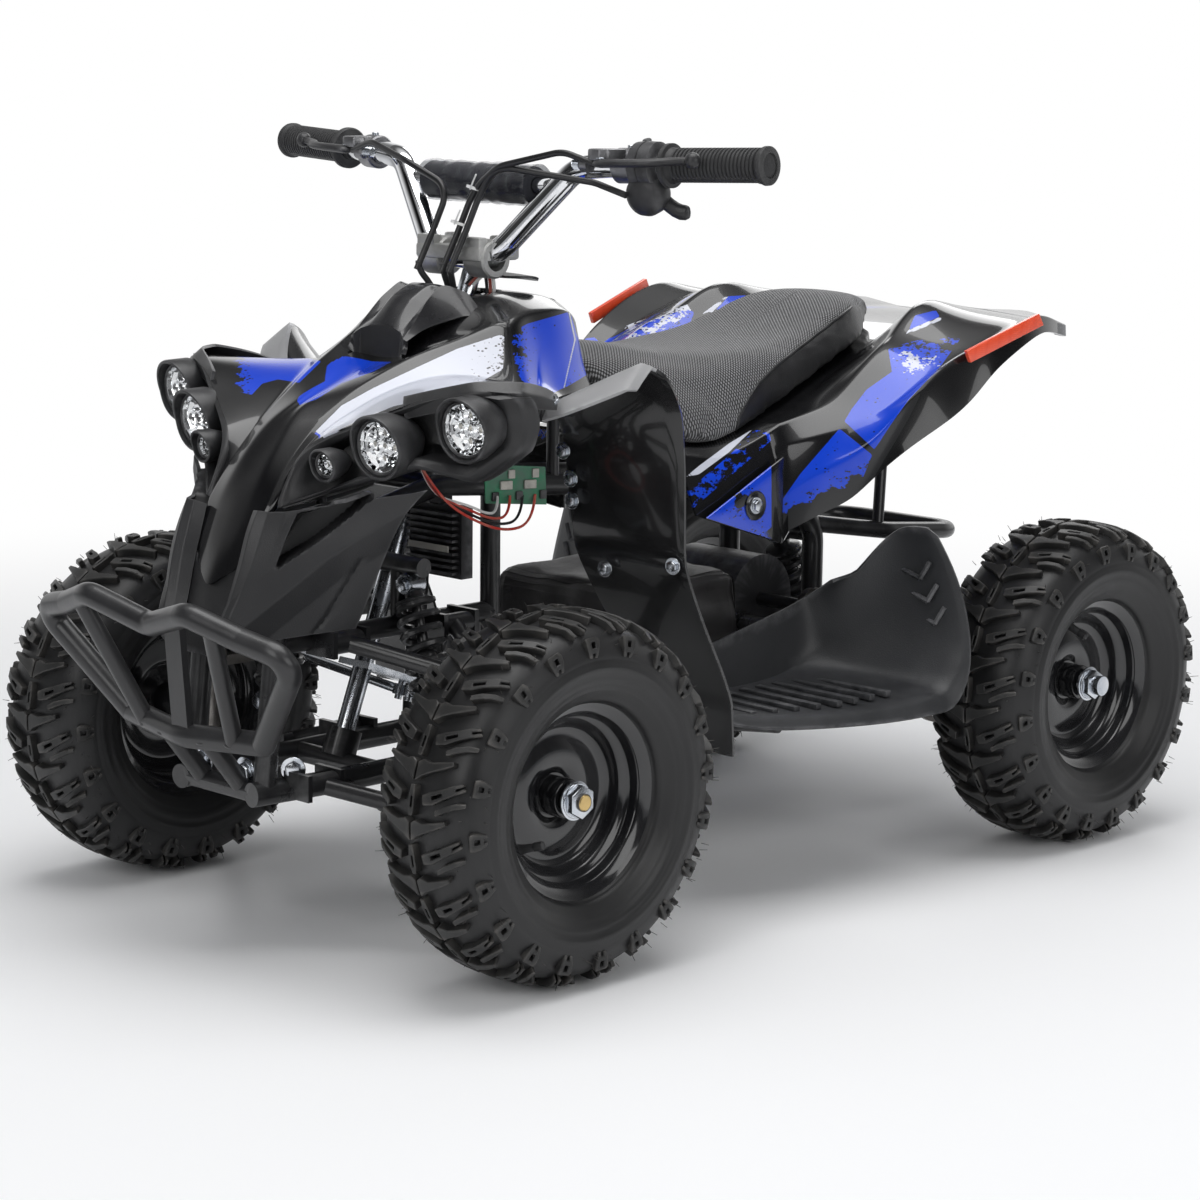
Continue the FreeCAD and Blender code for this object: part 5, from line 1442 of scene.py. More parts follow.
REAR_FIELDS = [
    ("blue", False, [(781, 501.1), (800.4, 473.3), (839.3, 428.4), (872.2, 454.8), (860.9, 482.3),
                     (824.4, 504.7), (781, 531.6)], lambda x, y, z: abs(y) > 120,
     lambda px, py: 0.16 + max(0, 1 - abs((py - 520) + (px - 790) * 0.45) / 26) * 0.8),
    ("blue", False, [(844.1, 421.3), (851.3, 409), (866.3, 389.5), (891.7, 371.6), (887.8, 349.2),
                     (908.1, 342.3), (957.5, 331.2), (963.5, 334.2), (941, 365.6), (908.1, 400.3),
                     (890.2, 425.4), (878.2, 444), (874, 449.4)], lambda x, y, z: abs(y) > 140,
     lambda px, py: 0.1 + max(0, (372 - py) / 30) * 0.55),
    ("pale", False, [(887.8, 353.7), (890.2, 347.1), (911.1, 341.7), (957.5, 331.2), (963.5, 334.2),
                     (942.5, 365.6), (911.1, 397), (888.7, 401.5)], lambda x, y, z: abs(y) > 140,
     lambda px, py: 0.42 + abs(math.hypot((px - 918) / 1.2, py - 362)) / 50),
    ("blue", False, [(908.1, 330.3), (914.7, 315.4), (935.7, 310), (939.8, 316.6)], anywhere, plain),
    ("pale", False, [(905.6, 334.4), (908, 330), (939.8, 316.2), (941.6, 313), (941, 320.2), (920.1, 329.1)],
     anywhere, plain),
    ("blue", False, [(685.3, 504.7), (687.4, 491.3), (707.7, 473.3), (728.7, 455.4), (752.6, 431.4),
                     (767.5, 426), (771.1, 440.4), (740.6, 467.3), (707.7, 495.7), (694.3, 507.7)], anywhere,
     lambda px, py: 0.62),
    ("pale", False, [(685.3, 476.9), (698.7, 465.8), (728.7, 443.4), (754, 428), (728.7, 452.4),
                     (698.7, 474.5)],
     anywhere, plain),
    ("blue", True, [(603, 353.1), (615, 344.7), (626.9, 329.1), (650.9, 320.7), (687.4, 308.2),
                    (694.3, 312.4), (689.8, 323.7), (662.8, 337.2), (635.9, 350.1)], anywhere,
     lambda px, py: 0.35),
    ("pale", True, [(603, 349), (615, 340.7), (626.9, 325.1), (650.9, 316.7), (687.4, 304.2),
                    (692.3, 312.4), (662.8, 330.2), (635.9, 343.1)], anywhere, lambda px, py: 0.55),
    ("blue", True, [(714.3, 311.2), (728.1, 296.2), (753.8, 294.7), (740.6, 301.6)], anywhere, plain),
    ("pale", True, [(701.1, 314.2), (727.2, 295), (729.3, 295.6), (712.2, 312.4)], anywhere, plain),
    ("blue", True, [(744.2, 279.9), (764.5, 279.9), (819.9, 290.2), (800.4, 292.6), (752.6, 286)],
     lambda x, y, z: abs(y) > 100, plain),
]


def build_rear():
    rear = start_shell("rear_shell", REAR, {1: 0.6, 2: 0.8, 3: 0.7, 4: 0.85, 5: 1},
                       {0: 1, 2: 0.8, 3: 0.8, 16: 1}, 4, mirrored=True)
    mark(rear, REAR_FIELDS)
    thicken(rear, 0.003, 40)
    dress(rear, "chassis", "body_gloss", "rear_body", materials=[SHELL])


def slab(name, corners, thick, bevel=0.0008):
    """Flat plate from its outline, thickened towards its back and with soft edges."""
    plate = mesh_piece(name, corners, [tuple(range(len(corners)))])
    modify(plate, "SOLIDIFY", thickness=thick, offset=-1)
    outward(plate)
    modify(plate, "BEVEL", width=bevel, segments=2, limit_method="ANGLE")
    return plate


def build_side_panels():
    face = 154.6
    outline = [at(x, face, z) for x, z in ((-58, 325), (-58, 411), (52, 361))]
    plate = slab("side_plate", outline, 0.0032, 0.0012)
    edit_all(plate, bpy.ops.mesh.subdivide, number_cuts=6)
    mark(plate, [("blue", False, [(696.5, 514.9), (771.4, 458.2), (771.4, 539.4)], anywhere,
                  lambda px, py: max(0.75 - math.hypot(px - 742, py - 505) / 42, (py - 518) / 40, 0.12))])
    coated(plate, 30, SHELL)
    ring = turned("plate_ring", [(-1, 6), (1.2, 9.5), (2.0, 13), (1.2, 14.5), (-1, 14.5)],
                  at(-17, face, 367), (0, 1, 0), 32, 40, GUARD)
    bolt = hex_head("plate_bolt", at(-17, face + 0.4, 367), (0, 1, 0), 0.0062, 0.0042, 1.35)
    dress_pair(join([plate, ring], "side_plate_left"), "chassis", "body_gloss", "side_panels")
    dress_pair(bolt, "chassis", "zinc")


def build_reflectors():
    face = points([(-209, 257, 501), (-203, 256, 513), (-302, 268, 545), (-309, 269, 533)])
    plate = coated(slab("reflector_left", face, 0.005, 0.0012), 30, RED)
    dress_pair(plate, "chassis", "reflector_orange", "reflectors")


# Seat

SEAT_LOOPS = [
    # x, top, ridge half width and height, low edge half width and height
    (122, 518, 46, 512, 56, 492), (104, 520, 60, 512, 76, 474), (82, 519, 72, 510, 94, 452),
    (56, 515, 82, 506, 108, 432), (20, 508, 92, 499, 117, 420), (-16, 504, 98, 496, 119, 422),
    (-60, 503, 101, 499, 118, 434), (-101, 505, 101, 502, 113, 449), (-145, 510, 99, 506, 108, 466),
    (-190, 523, 93, 516, 102, 483), (-225, 538, 82, 531, 98, 497), (-255, 547, 69, 542, 90, 504),
    (-276, 547, 56, 542, 76, 509), (-300, 544, 42, 540, 56, 513), (-328, 540, 26, 537, 34, 518),
    (-349, 536, 12, 534, 16, 522),
]


RIDGE_SHARE = 0.55


def seat_point(loop, share):
    """Point round the left half of a section, from its crown (0) to its low edge (1)."""
    x, top, ridge_y, ridge_z, low_y, low_z = loop
    if share < RIDGE_SHARE:
        k = share / RIDGE_SHARE
        crown = top - (top - ridge_z) * k ** 2.2
        return at(x, ridge_y * k, crown)
    k = (share - RIDGE_SHARE) / 0.45
    bulge = 5 * math.sin(math.pi * k)
    return at(x, ridge_y + (low_y - ridge_y) * k + bulge, ridge_z + (low_z + 3 - ridge_z) * k)


def build_seat():
    shares = (0, 0.14, 0.28, 0.42, 0.55, 0.68, 0.84, 1.0)
    rows = []
    for loop in SEAT_LOOPS:
        half = [seat_point(loop, s) for s in shares]
        under = Vector((half[-1].x, half[-1].y * 0.7, half[-1].z))
        middle = Vector((half[-1].x, 0, half[-1].z))
        left = half + [under, middle]
        right = [Vector((p.x, -p.y, p.z)) for p in reversed(left[1:-1])]
        rows.append(left + right)
    width = len(rows[0])
    seat = grid("seat_cushion", rows, closed=True)
    cap_ends(seat, width)
    crease(seat, width, {7: 0.6, width - 7: 0.6})
    outward(seat)
    subdivide(seat, 2)
    seat = inflate(seat)
    cover = seat.data.uv_layers.new(name="cover")
    for loop in seat.data.loops:
        spot = seat.data.vertices[loop.vertex_index].co
        cover.data[loop.index].uv = (spot.x, spot.y + 0.35 * (0.5 - spot.z) * (1 if spot.y > 0 else -1))
    paint(seat, KNIT, VINYL)
    for face in seat.data.polygons:
        face.material_index = 1 if below_seam(face.center) else 0
    smooth(seat, 60)
    dress(seat, "chassis", "seat_cover", "seat")
    for side, name in ((1, "left"), (-1, "right")):
        route = seam_route(seat, side)
        piping = sweep("seat_piping_" + name, route, 0.0014, 8)
        dress(piping, "chassis", "seat_cover", materials=[VINYL])
        beside = Vector((0, -side * 0.0024, 0.0021))
        stitches = [(a.lerp(b, k) + beside, a.lerp(b, k + 0.3) + beside)
                    for a, b in zip(route[1:], route[2:]) for k in (0.1, 0.6)]
        row = bristles("seat_stitches_" + name, stitches, 0.00035)
        dress(row, "chassis", "seat_cover", materials=[THREAD])


# The seam as the camera sees it: up from the low edge in front, back along the ridge
SEAM = [(731.6, 446), (736.1, 428.4), (740.6, 413.5), (748.1, 400), (758.6, 383.6), (776.5, 365.6),
        (797.5, 349.2), (818.4, 333.3), (836.3, 319.3), (851.9, 307.3)]
BEHIND_SEAM = [(905, 300), (905, 470), (729, 470)]


def below_seam(spot):
    if spot.z < 0.415 or abs(spot.y) < 0.012:
        return spot.x * 1000 + MIDDLE_X < -335
    return inside_by(seen_at(Vector((spot.x, abs(spot.y), spot.z))), SEAM + BEHIND_SEAM) > 0


def seam_route(seat, side):
    route = []
    for spot in resample([Vector((px, py, 0)) for px, py in SEAM], 56):
        hit, place, normal, _ = seat.ray_cast(CAMERA_AT, sight_line(spot.x, spot.y))
        if hit:
            place = place + normal * 0.0005
            route.append(Vector((place.x, side * place.y, place.z)))
    return route


VOXEL = 0.005
PRESSURE = 4
CLOTH_FRAMES = 20
MOST_SWELL = 0.006


def inflate(pad):
    """Remesh, blow up gently as cloth and keep the swelling within a few millimetres."""
    modify(pad, "REMESH", mode="VOXEL", voxel_size=VOXEL)
    before = [v.co.copy() for v in pad.data.vertices]
    take(pad)
    cloth = pad.modifiers.new("cloth", "CLOTH")
    cloth.settings.use_pressure = True
    cloth.settings.uniform_pressure_force = PRESSURE
    cloth.settings.effector_weights.gravity = 0
    cloth.settings.quality = 5
    scene = bpy.context.scene
    for step in range(1, CLOTH_FRAMES + 1):
        scene.frame_set(step)
    bpy.ops.object.modifier_apply(modifier=cloth.name)
    for vertex, old in zip(pad.data.vertices, before):
        move = vertex.co - old
        if move.length > MOST_SWELL:
            vertex.co = old + move.normalized() * MOST_SWELL
        if old.z < 0.44 or move.z < 0 and old.z < 0.49:
            vertex.co.z = max(vertex.co.z, old.z)
    scene.frame_set(1)
    subdivide(pad, 1)
    return pad


# Mudguards and footrests

GUARD_ROWS = [
    [(303, 186, 478), (300, 202, 483), (290, 219, 491), (277, 236, 500), (262, 249, 508), (251, 253, 507)],
    [(294, 184, 491), (284, 198, 500), (266, 214, 511), (250, 228, 521), (234, 241, 530), (228, 249, 526)],
    [(264, 158, 488), (256, 184, 500), (244, 206, 511), (230, 226, 520), (213, 243, 521), (207, 251, 516)],
    [(236, 140, 470), (228, 172, 480), (214, 198, 486), (206, 220, 489), (197, 244, 486), (191, 252, 482)],
    [(214, 126, 448), (208, 160, 452), (202, 192, 452), (198, 216, 452), (192, 244, 454), (188, 252, 452)],
    [(204, 120, 428), (199, 158, 430), (195, 190, 430), (192, 214, 430), (188, 244, 430), (186, 252, 428)],
    [(199, 119, 396), (194, 156, 398), (191, 190, 396), (190, 214, 394), (187, 244, 392), (185, 252, 390)],
    [(191, 119, 346), (188, 156, 346), (187, 190, 345), (186, 214, 344), (185, 244, 344), (184, 252, 343)],
    [(165, 124, 296), (163, 158, 294), (162, 190, 292), (161, 214, 290), (160, 244, 288), (159, 252, 287)],
    [(136, 132, 250), (134, 160, 248), (133, 190, 244), (132, 214, 243), (131, 244, 241), (130, 251, 240)],
    [(118, 142, 214), (117, 166, 212), (116, 190, 210), (116, 214, 209), (116, 242, 208), (115, 250, 207)],
    [(112, 150, 160), (112, 170, 158), (111, 190, 157), (111, 214, 156), (111, 240, 155), (110, 249, 155)],
]


HIGHLIGHT_REACH = 0.0065


def build_guards():
    guard = start_shell("guard_left", GUARD_ROWS, {0: 1, 4: 0.6, 5: 1},
                        {0: 1, 1: 0.85, 3: 0.2, 7: 0.4, 10: 0.5, 11: 1}, 2, way=(-1, 0, 0))
    paint(guard, GUARD, GUARD_HIGHLIGHT)
    # Faces along the top band, between the first two rows, take the pale second material: a painted highlight
    front, top = points(GUARD_ROWS[0]), points(GUARD_ROWS[1])
    band = [front[k].lerp(front[k + 1], u).lerp(top[k].lerp(top[k + 1], u), v)
            for k in range(len(front) - 1) for u in (0, 0.33, 0.67, 1) for v in (0, 0.33, 0.67, 1)]
    for face in guard.data.polygons:
        if min((face.center - spot).length for spot in band) < HIGHLIGHT_REACH:
            face.material_index = 1
    thicken(guard, 0.003, 40)
    dish = turned("dish", [(-0.5, 0), (-0.5, 6), (1.4, 8), (2.4, 12), (1.6, 14.5), (-1.5, 15)],
                  at(195, 178, 430), (-1, 0, 0.1), 32, 40, GUARD, closed=False)
    dress_pair(join([guard, dish], "guard_left"), "chassis", "body_gloss", "mudguard_left")
    bolts = [hex_head("guard_bolt", at(*place), (1, 0.2, 0), 0.0056, 0.0042, 1.4)
             for place in ((224, 134, 439), (212, 132, 412), (208, 130, 391), (190, 156, 329),
                           (189, 241, 342))]
    dress_pair(join(bolts, "guard_bolts_left"), "chassis", "zinc")


FOOT_ROWS = [
    [(116, 140, 218), (115, 146, 200), (115, 170, 196), (114, 205, 195), (114, 238, 194), (113, 246, 186)],
    [(90, 139, 224), (88, 146, 192), (88, 170, 190), (86, 210, 189), (84, 252, 188), (82, 261, 178)],
    [(30, 138, 232), (30, 146, 188), (28, 170, 187), (26, 214, 186), (20, 270, 184), (18, 280, 174)],
    [(-60, 138, 250), (-60, 146, 187), (-60, 170, 186), (-62, 216, 186), (-66, 282, 180), (-68, 291, 168)],
    [(-98, 138, 258), (-102, 146, 200), (-110, 172, 187), (-118, 216, 186), (-124, 284, 181), (-126, 293, 167)],
    [(-110, 140, 264), (-118, 150, 222), (-132, 176, 196), (-144, 216, 190), (-154, 286, 186), (-156, 296, 168)],
    [(-115, 147, 270), (-126, 158, 244), (-146, 182, 232), (-162, 216, 222), (-176, 290, 210), (-180, 299, 198)],
    [(-118, 154, 275), (-130, 167, 258), (-152, 190, 266), (-168, 216, 264), (-179, 281, 256), (-183, 291, 248)],
    [(-119, 161, 279), (-134, 176, 274), (-156, 198, 298), (-168, 220, 306), (-177, 264, 302), (-181, 275, 294)],
    [(-120, 168, 281), (-138, 184, 292), (-158, 206, 332), (-163, 224, 341), (-168, 246, 340), (-173, 255, 333)],
]


def build_footrests():
    foot = start_shell("footrest_pan", FOOT_ROWS, {0: 1, 1: 0.5, 4: 0.55, 5: 1}, {0: 1, 9: 1, 5: 0.3}, 2)
    thicken(foot, 0.004, 40)
    trims = []
    for k in range(9):
        x = 96 - k * 24
        y0, y1 = 156, 232 + min(30, k * 6)
        low = 192 - k * 0.4
        corners = points([(x + 4, y0, low), (x + 4, y1, 190), (x - 4, y1, 190), (x - 4, y0, low)])
        trims.append(coated(slab("rib", corners, 0.006, 0.0012), 30))
    for k in range(3):
        tip = at(-164 - k * 4, 242 + k * 7, 290 - k * 22)
        for dy, dz in ((-24, 6), (9, 17)):
            end = tip + Vector((-0.003, dy / 1000, dz / 1000))
            trims.append(sweep("chevron", [tip, end], 0.0026, 8, smooth_route=False))
    for piece in [foot] + trims:
        paint(piece, FOOT)
    dress_pair(join([foot] + trims, "footrest_pan_left"), "chassis", "tread_plastic", "footrest_left")


# Handlebar and its controls

BAR_TIP = at(162, 320, 703)
BAR_WAY = (at(186, 150, 697) - BAR_TIP).normalized()


def bar_at(back):
    """Point of the straight bar end, in metres inwards from its tip."""
    return BAR_TIP + BAR_WAY * back


def loft(name, route, sizes, sides=12):
    """Blade through oval sections: (half width in X, half height) at each point."""
    rows = []
    for k, (spot, (wide, high)) in enumerate(zip(route, sizes)):
        way = (route[min(k + 1, len(route) - 1)] - route[max(k - 1, 0)]).normalized()
        upward = Vector((0, 0, 1))
        out = way.cross(upward).normalized()
        upward = out.cross(way)
        rows.append([spot + out * wide * math.cos(t) + upward * high * math.sin(t)
                     for t in (2 * math.pi * j / sides for j in range(sides))])
    piece = grid(name, rows, closed=True)
    cap_ends(piece, sides)
    outward(piece)
    subdivide(piece, 1)
    smooth(piece, 50)
    return piece


def build_grips():
    profile = [(-4, 11.2), (-4, 15.6), (-2.8, 17.2), (0.5, 17.4), (2, 16.8), (3.2, 15.6)]
    for k in range(22):
        start = 5 + k * 4.1
        profile += [(start, 14.6), (start + 0.7, 15.9), (start + 2.4, 15.9), (start + 3.1, 14.6)]
    profile += [(97, 15.4), (99.5, 16.5), (100.5, 20), (104.5, 20), (106, 18.6), (106, 11.2)]
    grip = lathe("grip", millimetres(profile), BAR_TIP, BAR_WAY, 56)
    for vertex in grip.data.vertices:
        away = vertex.co - BAR_TIP
        along = away.dot(BAR_WAY) * 1000
        across = away - BAR_WAY * away.dot(BAR_WAY)
        turn = math.atan2(across.z, across.x)
        if 6 < along < 96 and across.length > 0.0135 and math.cos(turn - 0.6) < 0.1:
            vertex.co -= across.normalized() * (across.length - 0.0148) * 0.75
    smooth(grip, 38)
    plug = turned("bar_end", [(-3.2, 0), (-3.2, 8), (-2.2, 11.4), (3, 11.4), (3, 0)],
                  BAR_TIP, BAR_WAY, 32, 38, closed=False)
    left = join([grip, plug], "grip_left")
    paint(left, GRIP)
    dress_pair(left, "steering", "grip_rubber", "grips")


def build_levers():
    middle = bar_at(0.150)
    pivot = middle + Vector((0.034, 0, 0))
    route = [pivot + Vector((0.004, -0.006, 0.002)), pivot + BAR_WAY * -0.010 + Vector((0.003, 0, 0.003)),
             pivot + BAR_WAY * -0.032 + Vector((0.009, 0, 0.003)),
             pivot + BAR_WAY * -0.060 + Vector((0.006, 0, 0.003)),
             at(204, 236, 704), at(198, 256, 705.5), at(196, 262, 706)]
    sizes = [(0.009, 0.0042), (0.0085, 0.0042), (0.0068, 0.0040), (0.0058, 0.0040), (0.0052, 0.0040),
             (0.0046, 0.0038), (0.0040, 0.0034)]
    half_round = [(7.5 * math.cos(t), 7.5 * math.sin(t)) for t in (math.pi * k / 10 for k in range(11))]
    ball = turned("lever_ball", half_round, at(196, 263, 706), (0, 1, 0), 24, 60, closed=False)
    blade = join([loft("lever_blade", route, sizes), ball], "lever_left")
    paint(blade, SWITCH)
    ring = turned("perch_ring", [(-10, 11.3), (-10, 14.6), (-8.6, 16), (8.6, 16), (10, 14.6), (10, 11.3)],
                  middle, BAR_WAY, 36, 38)
    outline = [middle + Vector((x, y, 0.0050)) for x, y in (
        (0.011, 0.009), (0.034, 0.008), (0.040, 0.002), (0.039, -0.013), (0.029, -0.018), (0.011, -0.009))]
    arm = coated(slab("perch_arm", outline, 0.0105, 0.0018), 35)
    mouth = middle + Vector((0.034, -0.014, 0.001))
    tube = turned("adjuster_seat", [(0, 0), (0, 6.5), (9, 6.5), (10.5, 5), (10.5, 0)],
                  mouth, (0, -1, 0), 24, 35, closed=False)
    perch = join([ring, arm, tube], "perch_left")
    paint(perch, PERCH)
    knurl = [(10, 0)]
    for k in range(9):
        knurl += [(11 + k * 0.9, 5.4), (11.45 + k * 0.9, 4.8)]
    knurl += [(19.4, 5.2), (20.4, 4.2), (20.4, 0)]
    adjuster = turned("adjuster", knurl, mouth, (0, -1, 0), 20, 30, ZINC, closed=False)
    bolt = hex_head("lever_bolt", pivot + Vector((0, 0, 0.0068)), (0, 0, 1), 0.0046, 0.003, 1.3)
    clamp = socket_screw("perch_screw", middle + Vector((-0.002, 0.002, 0.0150)), (0, 0, 1), 0.0034, 0.0034)
    hardware = join([adjuster, bolt, clamp], "lever_hardware_left")
    dress_pair(blade, "steering", "control_plastic", "levers")
    dress_pair(perch, "steering", "cast_aluminium")
    dress_pair(hardware, "steering", "zinc")


def build_throttle():
    middle = bar_at(0.127)
    switch = [(-14, 11.3), (-14, 18.5), (-12, 21.4), (-1, 22), (-0.4, 21.2), (0.4, 21.2), (1, 22),
              (10, 21.4), (12, 18.5), (12, 11.3)]
    ring = turned("switch_ring", switch, middle, BAR_WAY, 40, 35)
    drum = [(-2, 0), (-2, 12), (1, 17), (6, 19.4), (16, 19.8), (22, 17.6), (25, 12), (26, 0)]
    body = turned("switch_body", drum, middle + Vector((-0.010, 0, -0.022)), (1, 0.12, -0.25), 32, 50,
                  closed=False)
    route = [middle + Vector(step) for step in ((-0.004, 0.006, -0.024), (-0.012, 0.016, -0.036),
                                                (-0.016, 0.026, -0.042), (-0.018, 0.036, -0.040))]
    lever = loft("thumb_lever", route, [(0.006, 0.007), (0.006, 0.007), (0.005, 0.008), (0.0035, 0.007)])
    housing = join([ring, body, lever], "throttle_body")
    dress(housing, "steering", "control_plastic", "throttle", materials=[SWITCH])
    button = turned("switch_button", [(0, 0), (0, 4.2), (2.2, 4.2), (3, 3.4), (3, 0)],
                    middle + Vector((-0.004, -0.006, 0.0205)), (0.3, 0, 1), 24, 35, closed=False)
    dress(button, "steering", "control_plastic", materials=[SWITCH])


VISOR = [
    [(196, -40, 589), (176, -44, 590), (158, -38, 584)],
    [(196, 0, 589), (170, 0, 592), (150, 0, 585)],
    [(196, 40, 589), (176, 44, 590), (158, 38, 584)],
]


def build_risers():
    base = slab("riser_base", points([(194, -44, 606), (194, 44, 606), (246, 44, 606), (246, -44, 606)]),
                0.014, 0.003)
    parts = [coated(base, 30)]
    screws = []
    saddle = [(-14, 11.3), (-14, 16.5), (-12.4, 18.2), (12.4, 18.2), (14, 16.5), (14, 11.3)]
    for side in (31, -31):
        parts.append(turned("riser_cap", saddle, at(225, side, 608), (0, 1, 0), 40, 35))
        for x in (205.5, 240):
            corners = points([(x - 6, side - 12, 617), (x - 6, side + 12, 617), (x + 5, side + 12, 617),
                              (x + 5, side - 12, 617)])
            parts.append(coated(slab("riser_lug", corners, 0.011, 0.002), 30))
            for dy in (-6.5, 6.5):
                screws.append(socket_screw("riser_screw", at(x, side + dy, 616.8), (0, 0, 1), 0.0042, 0.0048))
    dress(join(parts, "riser_blocks"), "steering", "cast_aluminium", "riser_clamp", materials=[CAST])
    dress(join(screws, "riser_screws"), "steering", "zinc")
    visor = grid("visor", [points(row) for row in VISOR])
    outward(visor)
    subdivide(visor, 2)
    modify(visor, "SOLIDIFY", thickness=0.0025, offset=0)
    smooth(visor, 35)
    dress(visor, "steering", "control_plastic", materials=[SWITCH])


def build_pad():
    centre = at(200, 0, 676)
    foam = [(-71.5, 7.6), (-72, 12), (-70.5, 16.4), (-68, 17.6)]
    foam += [(-68 + k * 8.5, 17.9 - 0.35 * math.sin(k * 1.9) ** 2) for k in range(1, 16)]
    foam += [(68, 17.6), (70.5, 16.4), (72, 12), (71.5, 7.6)]
    pad = lathe("bar_foam", millimetres(foam), centre, (0, 1, 0), 48)
    smooth(pad, 60)
    dress(pad, "steering", "foam", "bar_pad", materials=[FOAM])
    wrap = lathe("pad_wrap", millimetres([(-74 + k * 4.6, 18.6 + 0.8 * math.sin(k * 2.3) ** 2)
                                          for k in range(33)]), centre, (0, 1, 0), 72, closed=False)
    for vertex in wrap.data.vertices:
        away = vertex.co - Vector((centre.x, vertex.co.y, centre.z))
        fold = noise.noise(vertex.co * 55 + Vector((3, 1, 7))) + 0.5 * noise.noise(vertex.co * 140)
        vertex.co += away.normalized() * 0.0011 * fold
    modify(wrap, "SOLIDIFY", thickness=0.0003, offset=1)
    smooth(wrap, 60)
    dress(wrap, "steering", "foam", materials=[WRAP])


def build_cable_trim():
    ties = []
    band = millimetres([(-1.3, 8), (-1.3, 9.1), (1.3, 9.1), (1.3, 8)])
    for x, y, z in ((234, 26, 672), (246, 18, 640)):
        ties.append(lathe("tie", band, at(x, y, z), (0.25, -0.2, -1), 24))
        tail = points([(x + 8, y + 1, z), (x + 11, y + 7, z + 6), (x + 11, y + 12, z + 14)])
        ties.append(sweep("tie_tail", tail, 0.0009, 6))
    dress(join(ties, "cable_ties"), "steering", "cable_sheath", materials=[TIE])
    tails = []
    for shift in (0, -34, 10):
        route = points([(260.5, 11 + shift, 604), (260, 10 + shift, 597), (252, 9 + shift * 0.7, 582),
                        (248, 8 + shift * 0.5, 566), (247, 8 + shift * 0.4, 546)])
        tails.append(sweep("tail", route, 0.003, 12))
    tail = join(tails, "cable_tails")
    paint(tail, CABLE)
    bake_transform(tail)
    wires = []
    for shift, material in ((0, WHITE_WIRE), (5, RED_WIRE), (10, CABLE)):
        route = points([(226, 14 - shift, 582), (214, 20 - shift, 596), (206, 22 - shift, 590),
                        (204, 20 - shift, 574)])
        wire = sweep("loom_wire", route, 0.0016, 8)
        paint(wire, material)
        wires.append(wire)
    dress(join(wires, "stem_wires"), "steering", "cable_sheath")


# Springs, bolts and small parts

def coil(name, low, high, radius, wire, turns):
    way = (high - low).normalized()
    side = way.orthogonal().normalized()
    other = way.cross(side)
    count = int(turns * 20)
    length = (high - low).length
    route = []
    for k in range(count + 1):
        share = k / count
        flat = 0.5 - 0.5 * math.cos(math.pi * share)
        rise = share * 0.8 + flat * 0.2
        angle = share * turns * 2 * math.pi
        route.append(low + way * length * rise + (side * math.cos(angle) + other * math.sin(angle)) * radius)
    return sweep(name, route, wire, 10, smooth_route=False)


def build_shock(name, low, high, node, put):
    """Spring round its damper with two eyes, put in place by dress or dress_pair."""
    way = (high - low).normalized()
    length = (high - low).length * 1000
    spring = coil("spring", low + way * 0.019, high - way * 0.019, 0.0176, 0.0034, length / 18)
    profile = [(8, 0), (8, 8), (14, 10.5), (16, 18.4), (19, 18.6), (20, 12), (length * 0.55, 11.5),
               (length * 0.56, 10.5), (length * 0.58, 5), (length - 21, 5), (length - 20, 12),
               (length - 19, 18.6), (length - 16, 18.4), (length - 13, 9), (length - 8, 8), (length - 8, 0)]
    body = turned("damper", profile, low, way, 40, 35, closed=False)
    look = join([spring, body], name)
    paint(look, FRAME)
    eyes = []
    for spot in (low, high):
        eyes.append(turned("eye", [(-9, 5), (-9, 9.4), (-8, 10.2), (8, 10.2), (9, 9.4), (9, 5)],
                           spot, (1, 0, 0), 32, 35, ZINC))
        eyes.append(hex_head("eye_bolt", spot + Vector((0.0095, 0, 0)), (1, 0, 0), 0.0068, 0.0048, 1.35))
    eyes = join(eyes, name + "_eyes")
    put(look, "chassis", "shock_black", node)
    put(eyes, "chassis", "zinc")


def build_bumper_trim():
    beads = []
    joints = [((603, 86, 320), (-0.38, -0.22, -0.86), 8.6), ((551, 60, 205), (-0.4, -0.25, -0.9), 8.6),
              ((556, 27, 205), (-0.62, 0, -0.78), 9.6)]
    for (x, y, z), (way_x, way_y, way_z), radius in joints:
        profile = [(-1.6, radius - 1), (-1.2, radius + 1.2), (0, radius + 1.7), (1.2, radius + 1.2),
                   (1.6, radius - 1)]
        for side in (1, -1):
            spot = at(x, y * side, z)
            way = Vector((way_x, way_y * side, way_z)).normalized()
            across = way.orthogonal()
            bead = lathe("weld", millimetres(profile), spot, way, 36)
            for vertex in bead.data.vertices:
                away = vertex.co - spot
                away -= way * away.dot(way)
                if away.length > 1e-5:
                    turn = math.atan2(away.dot(across), away.dot(way.cross(across)))
                    vertex.co += away.normalized() * 0.0005 * math.sin(18 * turn)
            beads.append(coated(bead, 60))
    dress(join(beads, "bumper_welds"), "chassis", "frame_black", materials=[BUMPER])
    bolts = []
    for side in (1, -1):
        bracket = at(484, side * 60, 169)
        bolts += [hex_head("bumper_bolt", at(513, side * 31, 168), (1, 0, -0.2), 0.0085, 0.006, 1.5),
                  hex_head("bracket_bolt", bracket, (0.6, side * 0.5, 0), 0.0075, 0.005, 1.5),
                  hex_head("swing_bolt", at(-100, side * 100, 224), (0, side, 0), 0.0105, 0.008, 1.35)]
    dress(join(bolts, "front_bolts"), "chassis", "zinc")


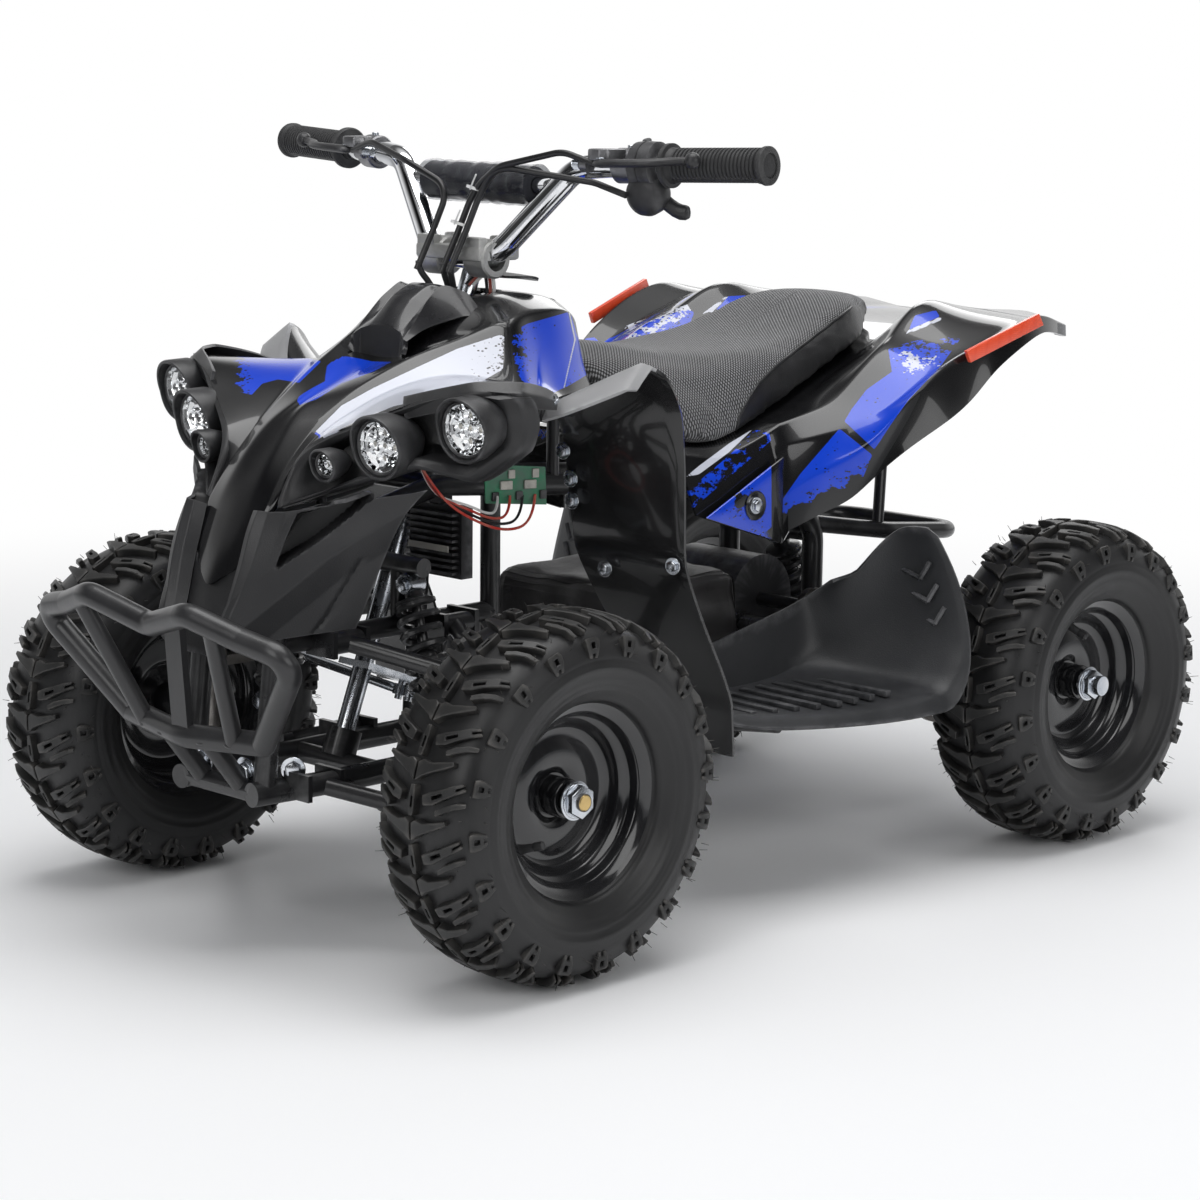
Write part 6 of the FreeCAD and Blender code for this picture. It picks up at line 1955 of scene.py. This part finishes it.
def build_battery_cover():
    clear_selection()
    low, high = at(-82, -91, 162.5), at(110, 91, 295)
    bpy.ops.mesh.primitive_cube_add(size=1, location=(low + high) / 2)
    cover = bpy.context.object
    cover.scale = high - low
    bpy.ops.object.transform_apply(location=True, rotation=True, scale=True)
    modify(cover, "BEVEL", width=0.020, segments=3)
    edit_all(cover, bpy.ops.mesh.subdivide, number_cuts=9)
    dent = at(-30, 91, 268)
    normals = [vertex.normal.copy() for vertex in cover.data.vertices]
    for vertex, normal in zip(cover.data.vertices, normals):
        spot = vertex.co.copy()
        fold = 1 - abs(noise.noise(Vector((spot.x * 14, spot.y * 14, spot.z * 9 + spot.x * 6))))
        crease_in = max(0, fold - 0.72) * 0.012
        hold = 0
        if spot.y > 0.08:
            hold = math.exp(-(((spot.x - dent.x) / 0.036) ** 2 + ((spot.z - dent.z) / 0.012) ** 2))
        sag = 0.004 * (1 + noise.noise(spot * 16)) + 0.0016 * noise.noise(spot * 45)
        vertex.co = spot - normal * (crease_in + hold * 0.009 + sag)
    cover.name = "battery_wrap"
    smooth(cover, 60)
    dress(cover, "chassis", "battery_cover", "battery_box", materials=[COVER])


def build_electrics():
    outline = points([(296, 104, 430), (240, 126, 425), (238, 126, 390), (294, 104, 394)])
    board = slab("board", outline, 0.002, 0.0003)
    paint(board, BOARD)
    pieces = [board]
    for k in range(7):
        share = 0.1 + 0.13 * k
        foot = at(296 - 56 * share, 108.5 + 22 * share, 396 + (k % 3) * 10)
        wide = 6 + 5 * (k % 3 == 1)
        chip = slab("chip", [foot, foot + Vector((-wide, wide * 0.39, 0)) / 1000,
                             foot + Vector((-wide, wide * 0.39, 8)) / 1000,
                             foot + Vector((0, 0, 0.008))], 0.005, 0.0005)
        paint(chip, LABEL if k % 3 else SWITCH)
        pieces.append(chip)
    for k, material in enumerate((RED_WIRE, CABLE, RED_WIRE, WHITE_WIRE)):
        route = points([(250 + k * 12, 124 - k * 4, 400), (262 + k * 12, 134 - k * 3, 376 + k * 4),
                        (300 + k * 6, 136 - k * 2, 372 + k * 6), (340, 132, 388 + k * 4),
                        (372, 128 - k * 4, 410), (396, 130, 440)])
        wire = sweep("lamp_wire", route, 0.0013, 8)
        paint(wire, material)
        pieces.append(wire)
    dress(join(pieces, "lamp_board"), "chassis", "lamp_clear")
    outline = points([(312.4, 22, 353), (312.4, 76, 353), (312.4, 76, 347), (312.4, 22, 347)])
    bar = slab("controller_bar", outline, 0.001, 0.0003)
    if bar.data.polygons[0].normal.x < 0:
        bar.data.flip_normals()
    dress(bar, "chassis", "controller_black", materials=[LABEL])


CARRIED = {
    "frame": FRAME, "top_frame": FRAME, "rear_loop": FRAME, "arm_mounts": FRAME, "footrest_bars": FRAME,
    "swing_arm": FRAME, "front_arms": FRAME, "motor": SWITCH, "controller": SWITCH, "chain": STEEL,
    "handlebar": CHROME, "front_bumper": BUMPER, "steering_stem": ZINC, "control_cables": CABLE,
    "knuckle_left": STEEL, "knuckle_right": STEEL, "tie_rod_left": ZINC, "tie_rod_right": ZINC,
    "rear_axle": ZINC, "brake_disc": STEEL, "sprocket": STEEL,
}


def carry_nodes():
    """Give the carried-over bodies their materials, through their own slots."""
    for node, material in CARRIED.items():
        piece = frame["nodes"][node]
        for slot in piece.material_slots:
            slot.link = "OBJECT"
            slot.material = material


place_camera()
light_studio()
lay_floor()
place_wheels()
build_hood()
build_hump()
build_nose()
build_pods()
build_flanges()
build_rear()
build_side_panels()
build_reflectors()
build_seat()
build_guards()
build_footrests()
build_grips()
build_levers()
build_throttle()
build_risers()
build_pad()
build_cable_trim()
build_shock("front_shock_look", at(362, 122, 186), at(350, 68, 322), "front_shocks", dress_pair)
build_shock("rear_shock_look", at(-262, 0, 208), at(-228, 0, 300), "rear_shock", dress)
build_bumper_trim()
build_battery_cover()
build_electrics()
carry_nodes()
